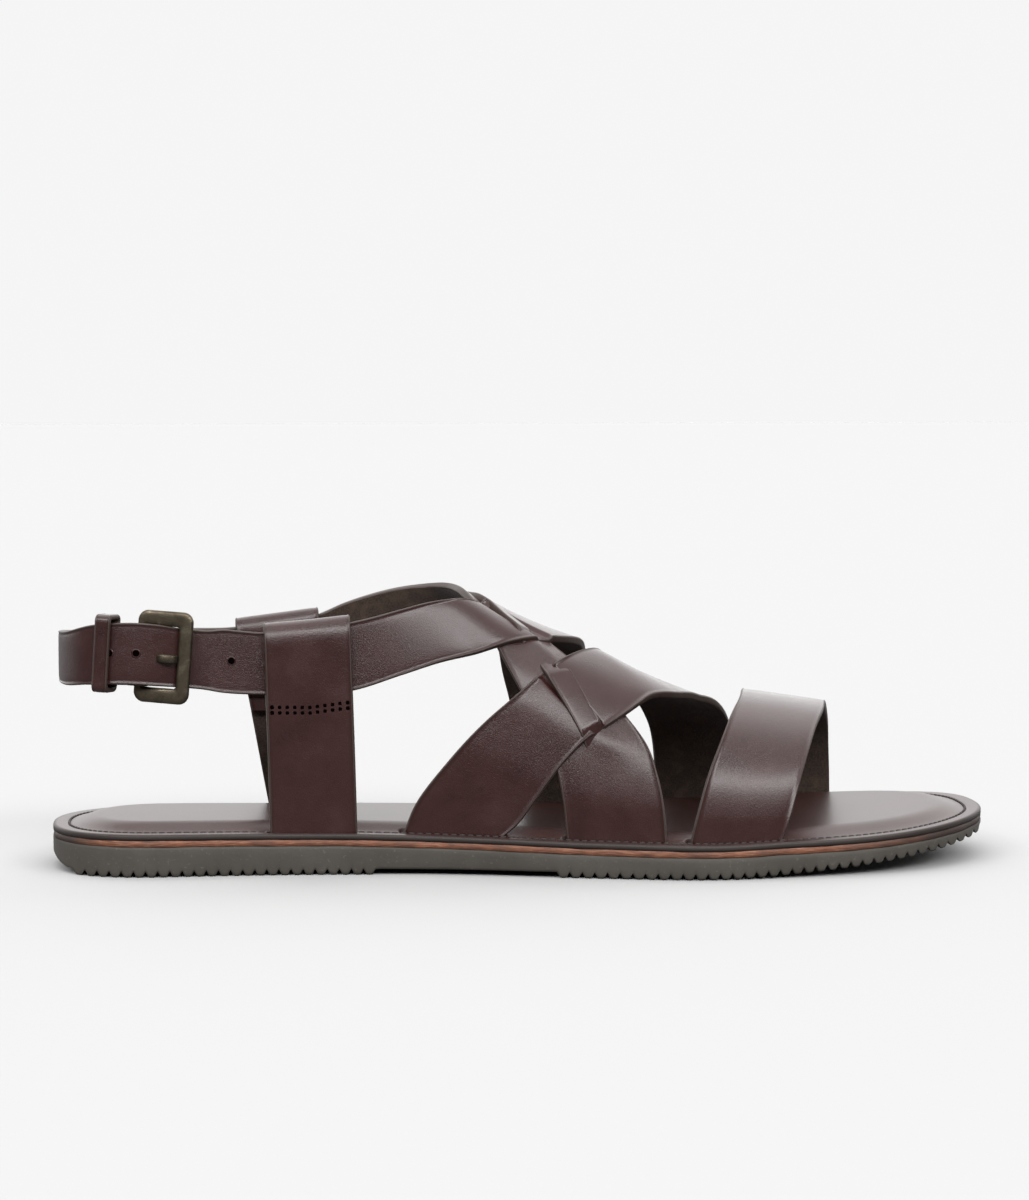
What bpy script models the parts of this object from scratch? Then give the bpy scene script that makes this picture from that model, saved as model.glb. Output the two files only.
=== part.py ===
"""A woven strap sandal for the right foot, standing on its sole.

Metres. +X points to the toe, +Y to the inner (medial) side and +Z up. The origin is at the middle of
the footprint, on the ground. Places along the sandal are shares of its length, 0 at the heel and 1 at
the toe. Places on a strap are given on the last: a share along it and an angle round it, from 0 at
the outer edge of the footbed, over the instep at 90, to 180 at the inner edge.
"""

import math

import bmesh
import bpy
import numpy as np

# Driving sizes
LENGTH = 0.2947
BALL_WIDTH = 0.106
INSTEP_HEIGHT = 0.074
HEEL_HEIGHT = 0.0134
TOE_SPRING = 0.009
CLEARANCE = 0.0003

# Sole
INSOLE_THICKNESS = 0.0018
MIDSOLE_THICKNESS = 0.0014
PAD_CROWN = 0.0024
PAD_MARGIN = 0.005
PAD_RISE = 0.010
RIB_PITCH = 0.0037
RIB_DEPTH = 0.0017
HEEL_BEVEL = 0.0035

# Straps
STRAP_THICKNESS = 0.0024
STRAP_INSET = 0.006
SLOT_ROOM = 0.0012
SLOT_RISE = 0.0035
STRAP_HOLE_RADIUS = 0.0013

# Buckle and keeper
FRAME_RAIL = 0.0041
FRAME_BAR = 0.0042
FRAME_THICKNESS = 0.0022
FRAME_CORNER = 0.0032
PIVOT_RADIUS = 0.0011
FOLD_THICKNESS = 0.0016
FOLD_LEAD = 0.0032
FOLD_RETURN = 0.0038
PRONG_WIDTH = 0.0026
PRONG_THICKNESS = 0.0016
HOOK_START, HOOK_END = 150, 350
KEEPER_WIDTH = 0.005
KEEPER_THICKNESS = 0.0016
KEEPER_CORNER = 0.0009

# Outline of the sole: share along, middle and half width as shares of the ball width
OUTLINE = (
    (0.00, -0.020, 0.330),
    (0.12, 0.005, 0.330),
    (0.25, 0.005, 0.325),
    (0.40, -0.010, 0.350),
    (0.55, -0.040, 0.430),
    (0.68, -0.040, 0.505),
    (0.78, -0.010, 0.505),
    (0.90, 0.010, 0.460),
    (1.00, 0.035, 0.410),
)
HEEL_ROUND, HEEL_POWER = 0.12, 2.3
TOE_ROUND, TOE_POWER = 0.18, 2.5

# Top edge of the sole: share along, height as a share of the heel height
EDGE = ((0.0, 1.0), (0.30, 0.95), (0.55, 0.82), (0.75, 0.77), (1.0, 0.48))
SPRING_START, SPRING_POWER = 0.66, 1.8
RIB_ZONES = ((0.022, 0.335), (0.520, 0.990))
RIB_PROFILE = ((0.0, 1.0), (0.20, 0.2), (0.35, 0.0), (0.65, 0.0), (0.80, 0.2), (1.0, 1.0))
BEVEL_ROUND = 0.02

# Height of the last: share along, height above the footbed as a share of the instep height, and how
# much of that height its top is flattened by
LAST = (
    (0.00, 2.03, 0.00), (0.22, 1.89, 0.00), (0.30, 1.59, 0.00), (0.36, 1.32, 0.02), (0.42, 1.12, 0.06),
    (0.47, 1.00, 0.09), (0.53, 0.86, 0.06), (0.58, 0.757, 0.02), (0.65, 0.655, 0.00), (0.72, 0.580, 0.00),
    (0.80, 0.52, 0.00), (0.88, 0.46, 0.00), (1.00, 0.38, 0.00),
)
LAST_POWER = 2.3
FLAT_START = 0.80
LAST_HEEL_INSET = 0.0048
LAST_HEEL_SPAN = 0.12

# Straps: rows from one end to the other. Each row has one edge (along, round), the other edge
# (along, round) and how far the strap is raised, in strap thicknesses.
OVER = 0.8
TWICE_OVER = 1.25
SUNK = -0.15
LAYER = 1.0 + CLEARANCE / STRAP_THICKNESS
# Inner face of a strap that sags or is raised, and of a band: joined deep into the strap it lies on
SAG = 3.0
UNDER = ((-SAG, -SAG - 1.0), (0.0, -1.0), (OVER, -0.5), (LAYER, LAYER - 1.0))
BAND_UNDER = -0.4

DIAGONAL_STRAP = (
    (0.365, 0, 0.468, 0, 0.0),
    (0.378, 4, 0.482, 2, 0.0),
    (0.413, 13, 0.502, 8, 0.0),
    (0.448, 23, 0.526, 17, 0.3),
    (0.486, 35, 0.550, 26, OVER),
    (0.520, 50, 0.572, 33, OVER),
    (0.548, 66, 0.597, 42, OVER),
    (0.572, 80, 0.624, 54, OVER),
    (0.597, 95, 0.660, 69, -0.7),
    (0.621, 112, 0.696, 90, -1.8),
    (0.643, 132, 0.729, 115, -1.8),
    (0.656, 151, 0.749, 145, -1.1),
    (0.663, 168, 0.756, 168, -0.3),
    (0.664, 180, 0.757, 180, 0.0),
)
OUTER_LONG_STRAP = (
    (0.532, 0, 0.633, 0, 0.0),
    (0.528, 8, 0.630, 10, 0.0),
    (0.521, 17, 0.625, 20, 0.0),
    (0.508, 26, 0.616, 31, 0.0),
    (0.489, 35, 0.593, 43, 0.0),
    (0.470, 45, 0.564, 55, 0.0),
    (0.452, 60, 0.530, 68, 0.0),
    (0.438, 84, 0.502, 88, 0.0),
    (0.424, 106, 0.472, 110, 0.0),
    (0.405, 122, 0.442, 130, 0.0),
    (0.374, 132, 0.405, 143, 0.0),
    (0.344, 140, 0.365, 152, 0.0),
    (0.314, 147, 0.330, 158, 0.0),
    (0.280, 153.0, 0.290, 162.8, 0.0),
    (0.240, 156.6, 0.245, 165.4, 0.0),
    (0.190, 159.4, 0.190, 166.9, 0.0),
    (0.130, 160.2, 0.130, 167.2, 0.0),
    (0.080, 160.2, 0.080, 166.9, 0.0),
    (0.040, 160.0, 0.040, 166.5, 0.0),
    (0.012, 160.1, 0.012, 166.2, 0.0),
    (0.000, 20.3, 0.000, 14.1, 0.0),
    (0.012, 20.6, 0.012, 14.3, 0.0),
    (0.042, 21.3, 0.038, 14.5, 0.0),
    (0.080, 21.6, 0.075, 14.6, 0.0),
)
INNER_LONG_STRAP = (
    (0.515, 180, 0.615, 180, 0.0),
    (0.512, 172, 0.613, 170, 0.0),
    (0.504, 163, 0.608, 160, 0.0),
    (0.498, 154, 0.600, 148, 0.0),
    (0.488, 143, 0.590, 134, 0.0),
    (0.478, 126, 0.576, 114, 0.3),
    (0.465, 104, 0.564, 95, OVER),
    (0.456, 84, 0.535, 78, OVER),
    (0.444, 68, 0.508, 63, OVER),
    (0.424, 59, 0.478, 51, OVER),
    (0.397, 51, 0.443, 42, 0.3),
    (0.365, 42.5, 0.405, 34.5, 0.0),
    (0.335, 35.5, 0.365, 27, 0.0),
    (0.300, 29.5, 0.315, 19.5, 0.0),
    (0.262, 25.5, 0.265, 16, 0.0),
    (0.220, 22.7, 0.220, 14.5, 0.0),
    (0.180, 21.9, 0.180, 14, 0.0),
    (0.163, 21.5, 0.158, 14.2, 0.0),
    (0.145, 21.5, 0.140, 14.3, 0.0),
    (0.131, 21.6, 0.126, 14.4, 0.6),
    (0.115, 21.9, 0.110, 14.5, LAYER),
    (0.083, 22.2, 0.078, 14.7, LAYER),
    (0.042, 21.9, 0.038, 14.6, LAYER),
    (0.012, 20.8, 0.012, 14.2, LAYER),
    (0.000, 20.3, 0.000, 14.1, LAYER),
    (0.012, 160.1, 0.012, 166.2, LAYER),
    (0.040, 160.8, 0.040, 165.6, LAYER),
)
TOE_STRAP = (
    (0.657, 0, 0.755, 0, 0.0),
    (0.664, 8, 0.764, 8, 0.0),
    (0.676, 22, 0.776, 23, 0.0),
    (0.692, 38, 0.789, 39, 0.0),
    (0.709, 56, 0.804, 57, 0.0),
    (0.726, 74, 0.820, 75, 0.0),
    (0.740, 93, 0.834, 94, 0.0),
    (0.752, 112, 0.846, 113, 0.0),
    (0.762, 132, 0.856, 133, 0.0),
    (0.769, 152, 0.862, 153, 0.0),
    (0.772, 168, 0.865, 168, 0.0),
    (0.773, 180, 0.866, 180, 0.0),
)
# Narrow bands between two slits of the outer long strap, over the strap that dives under them
DIAGONAL_BAND = (
    (0.563, 19, 0.585, 26, SUNK),
    (0.556, 23, 0.578, 30, 0.9),
    (0.550, 27, 0.571, 34, TWICE_OVER),
    (0.530, 37, 0.556, 43, TWICE_OVER),
    (0.511, 45.5, 0.539, 53, TWICE_OVER),
    (0.508, 47, 0.535, 55, 0.9),
    (0.505, 48.5, 0.531, 57, SUNK),
)
INSTEP_BAND = (
    (0.499, 51, 0.515, 59, SUNK),
    (0.496, 53, 0.512, 61, 0.9),
    (0.492, 56, 0.508, 64, TWICE_OVER),
    (0.478, 66, 0.496, 74, TWICE_OVER),
    (0.463, 77, 0.483, 84, TWICE_OVER),
    (0.450, 90, 0.469, 97, 0.9),
    (0.440, 101, 0.459, 108, SUNK),
)
# Quarter straps: side (-1 outer, +1 inner), back and front at the foot, back and front at the top
QUARTERS = {
    "quarter_strap_lateral": (-1, 0.2265, 0.317, 0.221, 0.311, INNER_LONG_STRAP),
    "quarter_strap_medial": (1, 0.232, 0.322, 0.196, 0.286, OUTER_LONG_STRAP),
}
QUARTER_TAIL = 0.0085
FOLD_HEIGHT = 0.78
FOLD_STEPS = 6

# Places along the ankle strap: the buckle's front bar, the free strap holes and the keeper
FRONT_BAR_ALONG = 0.1475
HOLES_ALONG = (0.064, 0.089, 0.186)
KEEPER_ALONG = 0.050

# Prong beyond its hook: how far ahead of the pivot bar and how far out, in metres
PRONG_LINE = ((0.0045, 0.0007), (0.0075, 0.0022), (0.0095, 0.0031), (0.0112, 0.0031), (0.0132, 0.0023))

MATERIALS = {
    "outsole": ((0.088, 0.077, 0.063), 0.75, 0.0),
    "midsole": ((0.30, 0.10, 0.045), 0.60, 0.0),
    "insole": ((0.050, 0.022, 0.018), 0.35, 0.0),
    "straps": ((0.060, 0.028, 0.026), 0.38, 0.0),
    "buckle": ((0.20, 0.17, 0.12), 0.42, 1.0),
}


def smooth(share, table, column):
    """Value of a table's column at a share along, on a smooth curve through its rows."""
    xs = np.array([row[0] for row in table], float)
    ys = np.array([row[column] for row in table], float)
    slopes = np.gradient(ys, xs)
    share = np.asarray(share, float)
    i = np.clip(np.searchsorted(xs, share) - 1, 0, len(xs) - 2)
    step = xs[i + 1] - xs[i]
    t = (share - xs[i]) / step
    start = (2 * t**3 - 3 * t**2 + 1) * ys[i] + (t**3 - 2 * t**2 + t) * step * slopes[i]
    end = (3 * t**2 - 2 * t**3) * ys[i + 1] + (t**3 - t**2) * step * slopes[i + 1]
    return start + end


def end_rounding(share):
    """How much of its full width the sole has near its rounded heel and toe, 0 to 1."""
    heel = np.clip(1 - share / LAST_HEEL_SPAN, 0, 1)
    toe = np.clip(1 - (1 - share) / TOE_ROUND, 0, 1)
    heel_width = np.clip(1 - heel**HEEL_POWER, 0, 1) ** (1 / HEEL_POWER)
    return heel_width * np.clip(1 - toe**TOE_POWER, 0, 1) ** (1 / TOE_POWER)


def along_x(share):
    return (np.asarray(share, float) - 0.5) * LENGTH


def half_width(share):
    return smooth(share, OUTLINE, 2) * BALL_WIDTH * end_rounding(share)


def middle(share):
    return smooth(share, OUTLINE, 1) * BALL_WIDTH


def toe_lift(share):
    """Height of the ground side of the sole above the ground."""
    rise = np.clip((np.asarray(share, float) - SPRING_START) / (1 - SPRING_START), 0, 1)
    return TOE_SPRING * rise**SPRING_POWER


def footbed(share):
    """Height of the insole's top edge."""
    xs, ys = zip(*EDGE)
    return np.interp(share, xs, ys) * HEEL_HEIGHT + toe_lift(share)


def last_height(share):
    return smooth(share, LAST, 1) * INSTEP_HEIGHT


def last_half_width(share):
    inset = STRAP_INSET * np.clip(end_rounding(share), 0.001, 1)
    return half_width(share) - inset


def last_point(share, angle):
    """Point on the last: superelliptic sections that stand on the footbed, one per share along."""
    share = np.asarray(share, float)
    turn = np.radians(np.asarray(angle, float))
    across = np.sign(np.cos(turn)) * np.abs(np.cos(turn)) ** (2 / LAST_POWER)
    up = np.sign(np.sin(turn)) * np.abs(np.sin(turn)) ** (2 / LAST_POWER)
    y = middle(share) - last_half_width(share) * across
    crown = np.clip((np.sin(turn) - FLAT_START) / (1 - FLAT_START), 0, 1)
    flat = smooth(share, LAST, 2) * crown * crown * (3 - 2 * crown)
    z = footbed(share) + last_height(share) * up * (1 - flat)
    x = along_x(share) + LAST_HEEL_INSET * np.clip(1 - share / LAST_HEEL_SPAN, 0, 1) ** 2
    return np.stack([x + 0 * y, y, z], axis=-1)


def curve_through(points, count):
    """Evenly spaced points on a smooth curve through the rows' points, and their place by row."""
    points = np.asarray(points, float)
    steps = np.sqrt(np.linalg.norm(np.diff(points, axis=0), axis=1))
    knots = np.concatenate([[0], np.cumsum(steps)])
    slopes = np.gradient(points, knots, axis=0)
    fine = np.linspace(0, knots[-1], 40 * len(points))
    dense = hermite(fine, knots, points, slopes)
    length = np.concatenate([[0], np.cumsum(np.linalg.norm(np.diff(dense, axis=0), axis=1))])
    even = np.interp(np.linspace(0, length[-1], count), length, fine)
    rows = np.interp(even, knots, np.arange(len(points)))
    return even, knots, rows


def hermite(at, knots, values, slopes):
    i = np.clip(np.searchsorted(knots, at) - 1, 0, len(knots) - 2)
    step = (knots[i + 1] - knots[i])[:, None]
    t = ((at - knots[i]) / (knots[i + 1] - knots[i]))[:, None]
    start = (2 * t**3 - 3 * t**2 + 1) * values[i] + (t**3 - 2 * t**2 + t) * step * slopes[i]
    end = (3 * t**2 - 2 * t**3) * values[i + 1] + (t**3 - t**2) * step * slopes[i + 1]
    return start + end


def strap_surface(table, count, across=5):
    """Grid of points on the last between a strap's two edges, and how far each row is raised."""
    table = np.array(table, float)
    one, other = last_point(table[:, 0], table[:, 1]), last_point(table[:, 2], table[:, 3])
    centre = last_point((table[:, 0] + table[:, 2]) / 2, (table[:, 1] + table[:, 3]) / 2)
    at, knots, rows = curve_through(centre, count)
    edges = [hermite(at, knots, line, np.gradient(line, knots, axis=0)) for line in (one, centre, other)]
    v = np.linspace(0, 1, across)[None, :, None]
    one, centre, other = (line[:, None, :] for line in edges)
    grid = one * (1 - v) * (1 - 2 * v) + centre * 4 * v * (1 - v) + other * v * (2 * v - 1)
    raised = np.interp(rows, np.arange(len(table)), table[:, 4]) * STRAP_THICKNESS
    return grid, raised


def surface_normals(grid):
    """Unit normals of a grid of points, pointing away from the last."""
    down = np.gradient(grid, axis=0)
    over = np.gradient(grid, axis=1)
    normals = np.cross(down, over)
    normals /= np.linalg.norm(normals, axis=-1, keepdims=True)
    return normals


def outward(grid):
    normals = surface_normals(grid)
    centre = np.array([0.0, 0.0, HEEL_HEIGHT + 0.3 * INSTEP_HEIGHT])
    first = grid[len(grid) // 2, grid.shape[1] // 2]
    side = normals[len(grid) // 2, grid.shape[1] // 2]
    away = (first - centre) * np.array([0.2, 1.0, 1.0])
    return normals if np.dot(side, away) > 0 else -normals


def with_roots(grid, raised, first=True, last=True):
    """The grid with its ends carried down through the insole."""
    drop = np.array([0.0, 0.0, INSOLE_THICKNESS])
    if first:
        grid = np.concatenate([grid[:1] - drop, grid])
        raised = np.concatenate([raised[:1], raised])
    if last:
        grid = np.concatenate([grid, grid[-1:] - drop])
        raised = np.concatenate([raised, raised[-1:]])
    return grid, raised


def add_mesh(name, vertices, faces, material, helper=False):
    mesh = bpy.data.meshes.new(name)
    mesh.from_pydata([tuple(v) for v in np.asarray(vertices).reshape(-1, 3)], [], faces)
    work = bmesh.new()
    work.from_mesh(mesh)
    bmesh.ops.recalc_face_normals(work, faces=work.faces)
    work.to_mesh(mesh)
    work.free()
    mesh.shade_smooth()
    mesh.set_sharp_from_angle(angle=math.radians(35))
    mesh.materials.append(material_named(material))
    piece = bpy.data.objects.new(name, mesh)
    bpy.context.scene.collection.objects.link(piece)
    if helper:
        piece.hide_render = True
        piece.display_type = "WIRE"
    return piece


def material_named(name):
    if name in bpy.data.materials:
        return bpy.data.materials[name]
    color, roughness, metallic = MATERIALS[name]
    material = bpy.data.materials.new(name)
    material.use_nodes = True
    shader = material.node_tree.nodes["Principled BSDF"]
    shader.inputs["Base Color"].default_value = (*color, 1.0)
    shader.inputs["Roughness"].default_value = roughness
    shader.inputs["Metallic"].default_value = metallic
    return material


def loft(name, sections, material, closed=False, helper=False):
    """A solid through equal loops of points, capped at both ends unless it closes on itself."""
    sections = np.asarray(sections)
    count, size = sections.shape[:2]
    faces = []
    for i in range(count if closed else count - 1):
        for j in range(size):
            a, b = i * size + j, i * size + (j + 1) % size
            c, d = (i + 1) % count * size + (j + 1) % size, (i + 1) % count * size + j
            faces.append((a, b, c, d))
    if not closed:
        faces.append(tuple(range(size)))
        faces.append(tuple((count - 1) * size + j for j in reversed(range(size))))
    return add_mesh(name, sections, faces, material, helper)


def ribbon(name, grid, outer, inner, normals, material, closed=False, helper=False):
    """A strap: the grid moved out to its outer face and in to its inner face, closed all round."""
    over = grid + normals * np.reshape(outer, (-1, 1, 1))
    under = grid + normals * np.reshape(inner, (-1, 1, 1))
    sections = np.concatenate([over, under[:, ::-1]], axis=1)
    return loft(name, sections, material, closed, helper)


def stations(extra=()):
    """Shares along where the sole is sliced: close together at its rounded ends."""
    rounds = 9
    heel = [HEEL_ROUND * (k / rounds) ** 2 for k in range(1, rounds + 1)]
    toe = [1 - TOE_ROUND * (k / rounds) ** 2 for k in range(1, rounds + 1)]
    body = np.linspace(HEEL_ROUND, 1 - TOE_ROUND, 22)[1:-1].tolist()
    tip = 0.00002
    shares = sorted([tip, 1 - tip] + heel + toe + body)
    kept = sorted(extra)
    for share in shares:
        if all(abs(share - other) > 0.0006 for other in kept) or share in (tip, 1 - tip):
            kept.append(share)
    return np.array(sorted(kept))


def rib_places():
    """Shares along at the corners of every rib, and a function for the depth cut between ribs."""
    phases, depths = zip(*RIB_PROFILE)
    corners = []
    zones = []
    for start, end in RIB_ZONES:
        count = round((end - start) * LENGTH / RIB_PITCH)
        pitch = (end - start) / count
        corners += [start + (k + phase) * pitch for k in range(count) for phase in phases[:-1]]
        corners.append(end)
        zones.append((start, end, pitch))

    def cut(share):
        for start, end, pitch in zones:
            if start <= share <= end:
                return float(np.interp((share - start) / pitch % 1.0, phases, depths)) * RIB_DEPTH
        return RIB_DEPTH

    return corners, cut


def slab(name, shares, low, high, material):
    """A layer of the sole between two heights that change along it."""
    half, centre, x = half_width(shares), middle(shares), along_x(shares)
    corners = [(centre - half, low), (centre - half, high), (centre + half, high), (centre + half, low)]
    sections = np.stack([np.stack([x, y, z], axis=-1) for y, z in corners], axis=1)
    return loft(name, sections, material)


def build_outsole():
    corners, cut = rib_places()
    shares = stations(corners)
    bevel = HEEL_BEVEL * np.clip(1 - shares / BEVEL_ROUND, 0, 1) ** 2
    low = toe_lift(shares) + np.array([cut(share) for share in shares]) + bevel
    high = footbed(shares) - INSOLE_THICKNESS - MIDSOLE_THICKNESS - 2 * CLEARANCE
    return slab("outsole", shares, low, high, "outsole")


def build_midsole():
    shares = stations()
    high = footbed(shares) - INSOLE_THICKNESS - CLEARANCE
    return slab("midsole", shares, high - MIDSOLE_THICKNESS, high, "midsole")


def pad_height(share, across):
    """Height of the footbed's padded crown above its edge, for a place across from -1 to 1."""
    edge_distance = half_width(share) * (1 - np.abs(across))
    rise = np.clip((edge_distance - PAD_MARGIN) / PAD_RISE, 0, 1)
    return PAD_CROWN * rise * rise * (3 - 2 * rise)


def build_insole():
    shares = stations()
    across = np.array([-1, -0.88, -0.80, -0.70, -0.58, -0.35, 0, 0.35, 0.58, 0.70, 0.80, 0.88, 1])
    half, centre, x = half_width(shares), middle(shares), along_x(shares)
    low = footbed(shares) - INSOLE_THICKNESS
    loops = [(centre - half, low)]
    loops += [(centre + half * v, footbed(shares) + pad_height(shares, v)) for v in across]
    loops.append((centre + half, low))
    sections = np.stack([np.stack([x, y, z], axis=-1) for y, z in loops], axis=1)
    return loft("insole", sections, "insole")


def cut_slot(insole, grid, normals):
    """Cut the insole where one end of a strap goes in. The grid's first row is at the footbed."""
    base, normal = grid[0], normals[0]
    side = (base[-1] - base[0]) / np.linalg.norm(base[-1] - base[0])
    base = np.concatenate([[base[0] - side * SLOT_ROOM], base[1:-1], [base[-1] + side * SLOT_ROOM]])
    level = normal * np.array([1.0, 1.0, 0.0])
    level /= np.linalg.norm(level, axis=-1, keepdims=True)
    heights = np.array([-2 * INSOLE_THICKNESS, SLOT_RISE])
    block = base[None] + heights[:, None, None] * np.array([0.0, 0.0, 1.0])
    outer = [CLEARANCE, CLEARANCE]
    inner = [-STRAP_THICKNESS - CLEARANCE] * 2
    index = len([m for m in insole.modifiers if m.type == "BOOLEAN"]) + 1
    name = f"slot_cutter_{index}"
    cutter = ribbon(name, block, outer, inner, np.repeat(level[None], 2, axis=0), "insole", helper=True)
    join(insole, cutter, "DIFFERENCE")


def join(piece, other, operation):
    modifier = piece.modifiers.new(other.name, "BOOLEAN")
    modifier.operation = operation
    modifier.solver = "MANIFOLD"
    modifier.object = other


def keep_main_body(piece):
    """Apply the joins and drop the pin-point voids that they leave where surfaces cross."""
    graph = bpy.context.evaluated_depsgraph_get()
    mesh = bpy.data.meshes.new_from_object(piece.evaluated_get(graph))
    piece.modifiers.clear()
    piece.data = mesh
    work = bmesh.new()
    work.from_mesh(mesh)
    left = set(work.verts)
    islands = []
    while left:
        island = {left.pop()}
        edge = list(island)
        while edge:
            near = {e.other_vert(v) for v in edge for e in v.link_edges}
            edge = list(near - island)
            island |= near
        left -= island
        islands.append(island)
    largest = max(islands, key=len)
    small = [v for island in islands if island is not largest for v in island]
    bmesh.ops.delete(work, geom=small, context="VERTS")
    work.to_mesh(mesh)
    work.free()


def build_strap(name, table, count, helper=False, first=True, last=True, under=None):
    """One strap on the last, with its ends through the insole where they are rooted."""
    grid, raised = strap_surface(table, count)
    normals = outward(grid)
    roots = []
    if first:
        roots.append((grid, normals))
    if last:
        roots.append((grid[::-1], normals[::-1]))
    grid, raised = with_roots(grid, raised, first, last)
    if first:
        normals = np.concatenate([normals[:1], normals])
    if last:
        normals = np.concatenate([normals, normals[-1:]])
    lifts, depths = zip(*UNDER)
    if under is None:
        inner = np.interp(raised / STRAP_THICKNESS, lifts, depths) * STRAP_THICKNESS
    else:
        inner = np.full(len(raised), under * STRAP_THICKNESS)
    piece = ribbon(name, grid, raised, inner, normals, "straps", helper=helper)
    return piece, roots


def ankle_place(share):
    """Place on the inner long strap at the outer ankle: point, up the strap, outward, width, raise."""
    rows = [row for row in INNER_LONG_STRAP if row[1] < 90 and row[0] < 0.23]
    grid, raised = strap_surface(rows, 80)
    normals = outward(grid)
    i = int(np.argmin(np.abs(grid[:, 2, 0] - along_x(share))))
    up = grid[i, 0] - grid[i, -1]
    width = np.linalg.norm(up)
    return grid[i, 2], up / width, normals[i, 2], width, raised[i]


def ankle_end():
    """End of the outer long strap, at the pivot bar: last row, ahead, up the strap and outward."""
    grid, _ = strap_surface(OUTER_LONG_STRAP, 220)
    up = grid[-1, 0] - grid[-1, -1]
    up /= np.linalg.norm(up)
    ahead = grid[-1, 2] - grid[-4, 2]
    ahead -= up * np.dot(ahead, up)
    ahead /= np.linalg.norm(ahead)
    out = np.cross(ahead, up)
    return grid[-1], ahead, up, out * -np.sign(out[1])


def build_fold():
    """The outer long strap's end, thinned, turned round the pivot bar and laid back on its inside."""
    row, ahead, up, out = ankle_end()
    half = FOLD_THICKNESS / 2
    turn = PIVOT_RADIUS + 2 * CLEARANCE + half
    places = [(-FOLD_LEAD, 0.0)]
    for a in np.linspace(0, math.pi, 2 * FOLD_STEPS):
        places.append((FOLD_LEAD + turn * math.sin(a), turn * math.cos(a) - turn))
    inside = -STRAP_THICKNESS - CLEARANCE
    places += [(0.2 * FOLD_LEAD, -1.9 * turn), (-0.55 * FOLD_RETURN, inside), (-FOLD_RETURN, inside)]
    level = row[2] + up * np.dot(row - row[2], up)[:, None]
    grid = np.array([level + ahead * a + out * (n - half) for a, n in places])
    normals = surface_normals(grid)
    if np.dot(normals[0, 2], out) < 0:
        normals = -normals
    count = len(grid)
    fold = ribbon("ankle_fold", grid, [half] * count, [-half] * count, normals, "straps", helper=True)
    return fold


def build_upper(insole):
    diagonal, roots_a = build_strap("diagonal_strap", DIAGONAL_STRAP, 32, helper=True)
    inner_long, roots_c = build_strap("inner_long_strap", INNER_LONG_STRAP, 68, helper=True, last=False)
    upper, roots_b = build_strap("upper", OUTER_LONG_STRAP, 68, last=False)
    for table, name in ((DIAGONAL_BAND, "diagonal_band"), (INSTEP_BAND, "instep_band")):
        band, _ = build_strap(name, table, 12, True, False, False, BAND_UNDER)
        join(upper, band, "UNION")
    for piece in (diagonal, inner_long, build_fold()):
        join(upper, piece, "UNION")
    for share in HOLES_ALONG:
        centre, _, out, _, raised = ankle_place(share)
        depth = raised - STRAP_THICKNESS - CLEARANCE / 2
        ends = [centre + out * depth, centre + out * (raised + STRAP_THICKNESS)]
        join(upper, rod("hole_cutter", ends, STRAP_HOLE_RADIUS, 10), "DIFFERENCE")
    for grid, normals in roots_a + roots_b + roots_c:
        cut_slot(insole, grid, normals)
    return upper


def quarter_grid(side, foot, top, table):
    """Path of a quarter strap: up outside the ankle strap, over it, and down again inside it."""
    rows = [row for row in table if 0.17 < row[0] < 0.35 and (row[1] > 90) == (side > 0)]
    edge_grid, _ = strap_surface(rows, 40, across=3)
    order = np.argsort(edge_grid[:, 1, 0])
    edge_x = edge_grid[order, 1, 0]
    high = edge_grid[order, 0, 2]
    low = edge_grid[order, 2, 2]
    shares = np.linspace(0, 1, 5)
    columns = []
    for v in shares:
        base, crest = foot[0] + (foot[1] - foot[0]) * v, top[0] + (top[1] - top[0]) * v
        x = along_x(crest)
        top_z = float(np.interp(x, edge_x, high))
        low_z = float(np.interp(x, edge_x, low))
        columns.append(quarter_column(side, base, crest, top_z, low_z))
    return np.stack(columns, axis=1)


def quarter_column(side, base, crest, top_z, low_z):
    """One line of a quarter strap, from its foot to its folded end."""
    half = STRAP_THICKNESS / 2
    outside = 2 * CLEARANCE + half
    inside = -STRAP_THICKNESS - 3 * CLEARANCE - half
    ground = float(footbed(base))
    rise = top_z - ground
    lines = [(0.0, ground - INSOLE_THICKNESS, outside)]
    lines += [(t, ground + (top_z - ground) * t, outside) for t in np.linspace(0, 1, 9)]
    reach = (outside - inside) / 2
    for k in range(1, FOLD_STEPS):
        a = math.pi * k / FOLD_STEPS
        lines.append((1.0, top_z + reach * FOLD_HEIGHT * math.sin(a), outside - reach * (1 - math.cos(a))))
    lines.append((1.0, top_z, inside))
    lines.append((0.9, (top_z + low_z) / 2, inside))
    lines.append((0.8, low_z - 4 * CLEARANCE, inside))
    beside = outside - STRAP_THICKNESS - CLEARANCE
    lines.append((0.75, low_z - QUARTER_TAIL * 0.40, beside))
    lines.append((0.7, low_z - QUARTER_TAIL, beside))
    points = []
    for _, z, offset in lines:
        share = base + (crest - base) * np.clip((z - ground) / rise, 0, 1)
        up = np.clip((z - float(footbed(share))) / float(last_height(share)), 0, 0.99)
        wall = float(last_half_width(share)) * (1 - up**LAST_POWER) ** (1 / LAST_POWER)
        y = float(middle(share)) + side * (wall + offset)
        points.append((float(along_x(share)), y, z))
    return np.array(points)


def build_quarter(name, insole):
    side, foot_back, foot_front, top_back, top_front, table = QUARTERS[name]
    grid = quarter_grid(side, (foot_back, foot_front), (top_back, top_front), table)
    normals = surface_normals(grid)
    if normals[2, 2, 1] * side < 0:
        normals = -normals
    half = STRAP_THICKNESS / 2
    count = len(grid)
    piece = ribbon(name, grid, [half] * count, [-half] * count, normals, "straps")
    outer_face = grid[1:] + normals[1:] * half
    cut_slot(insole, outer_face, normals[1:])
    return piece


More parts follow.
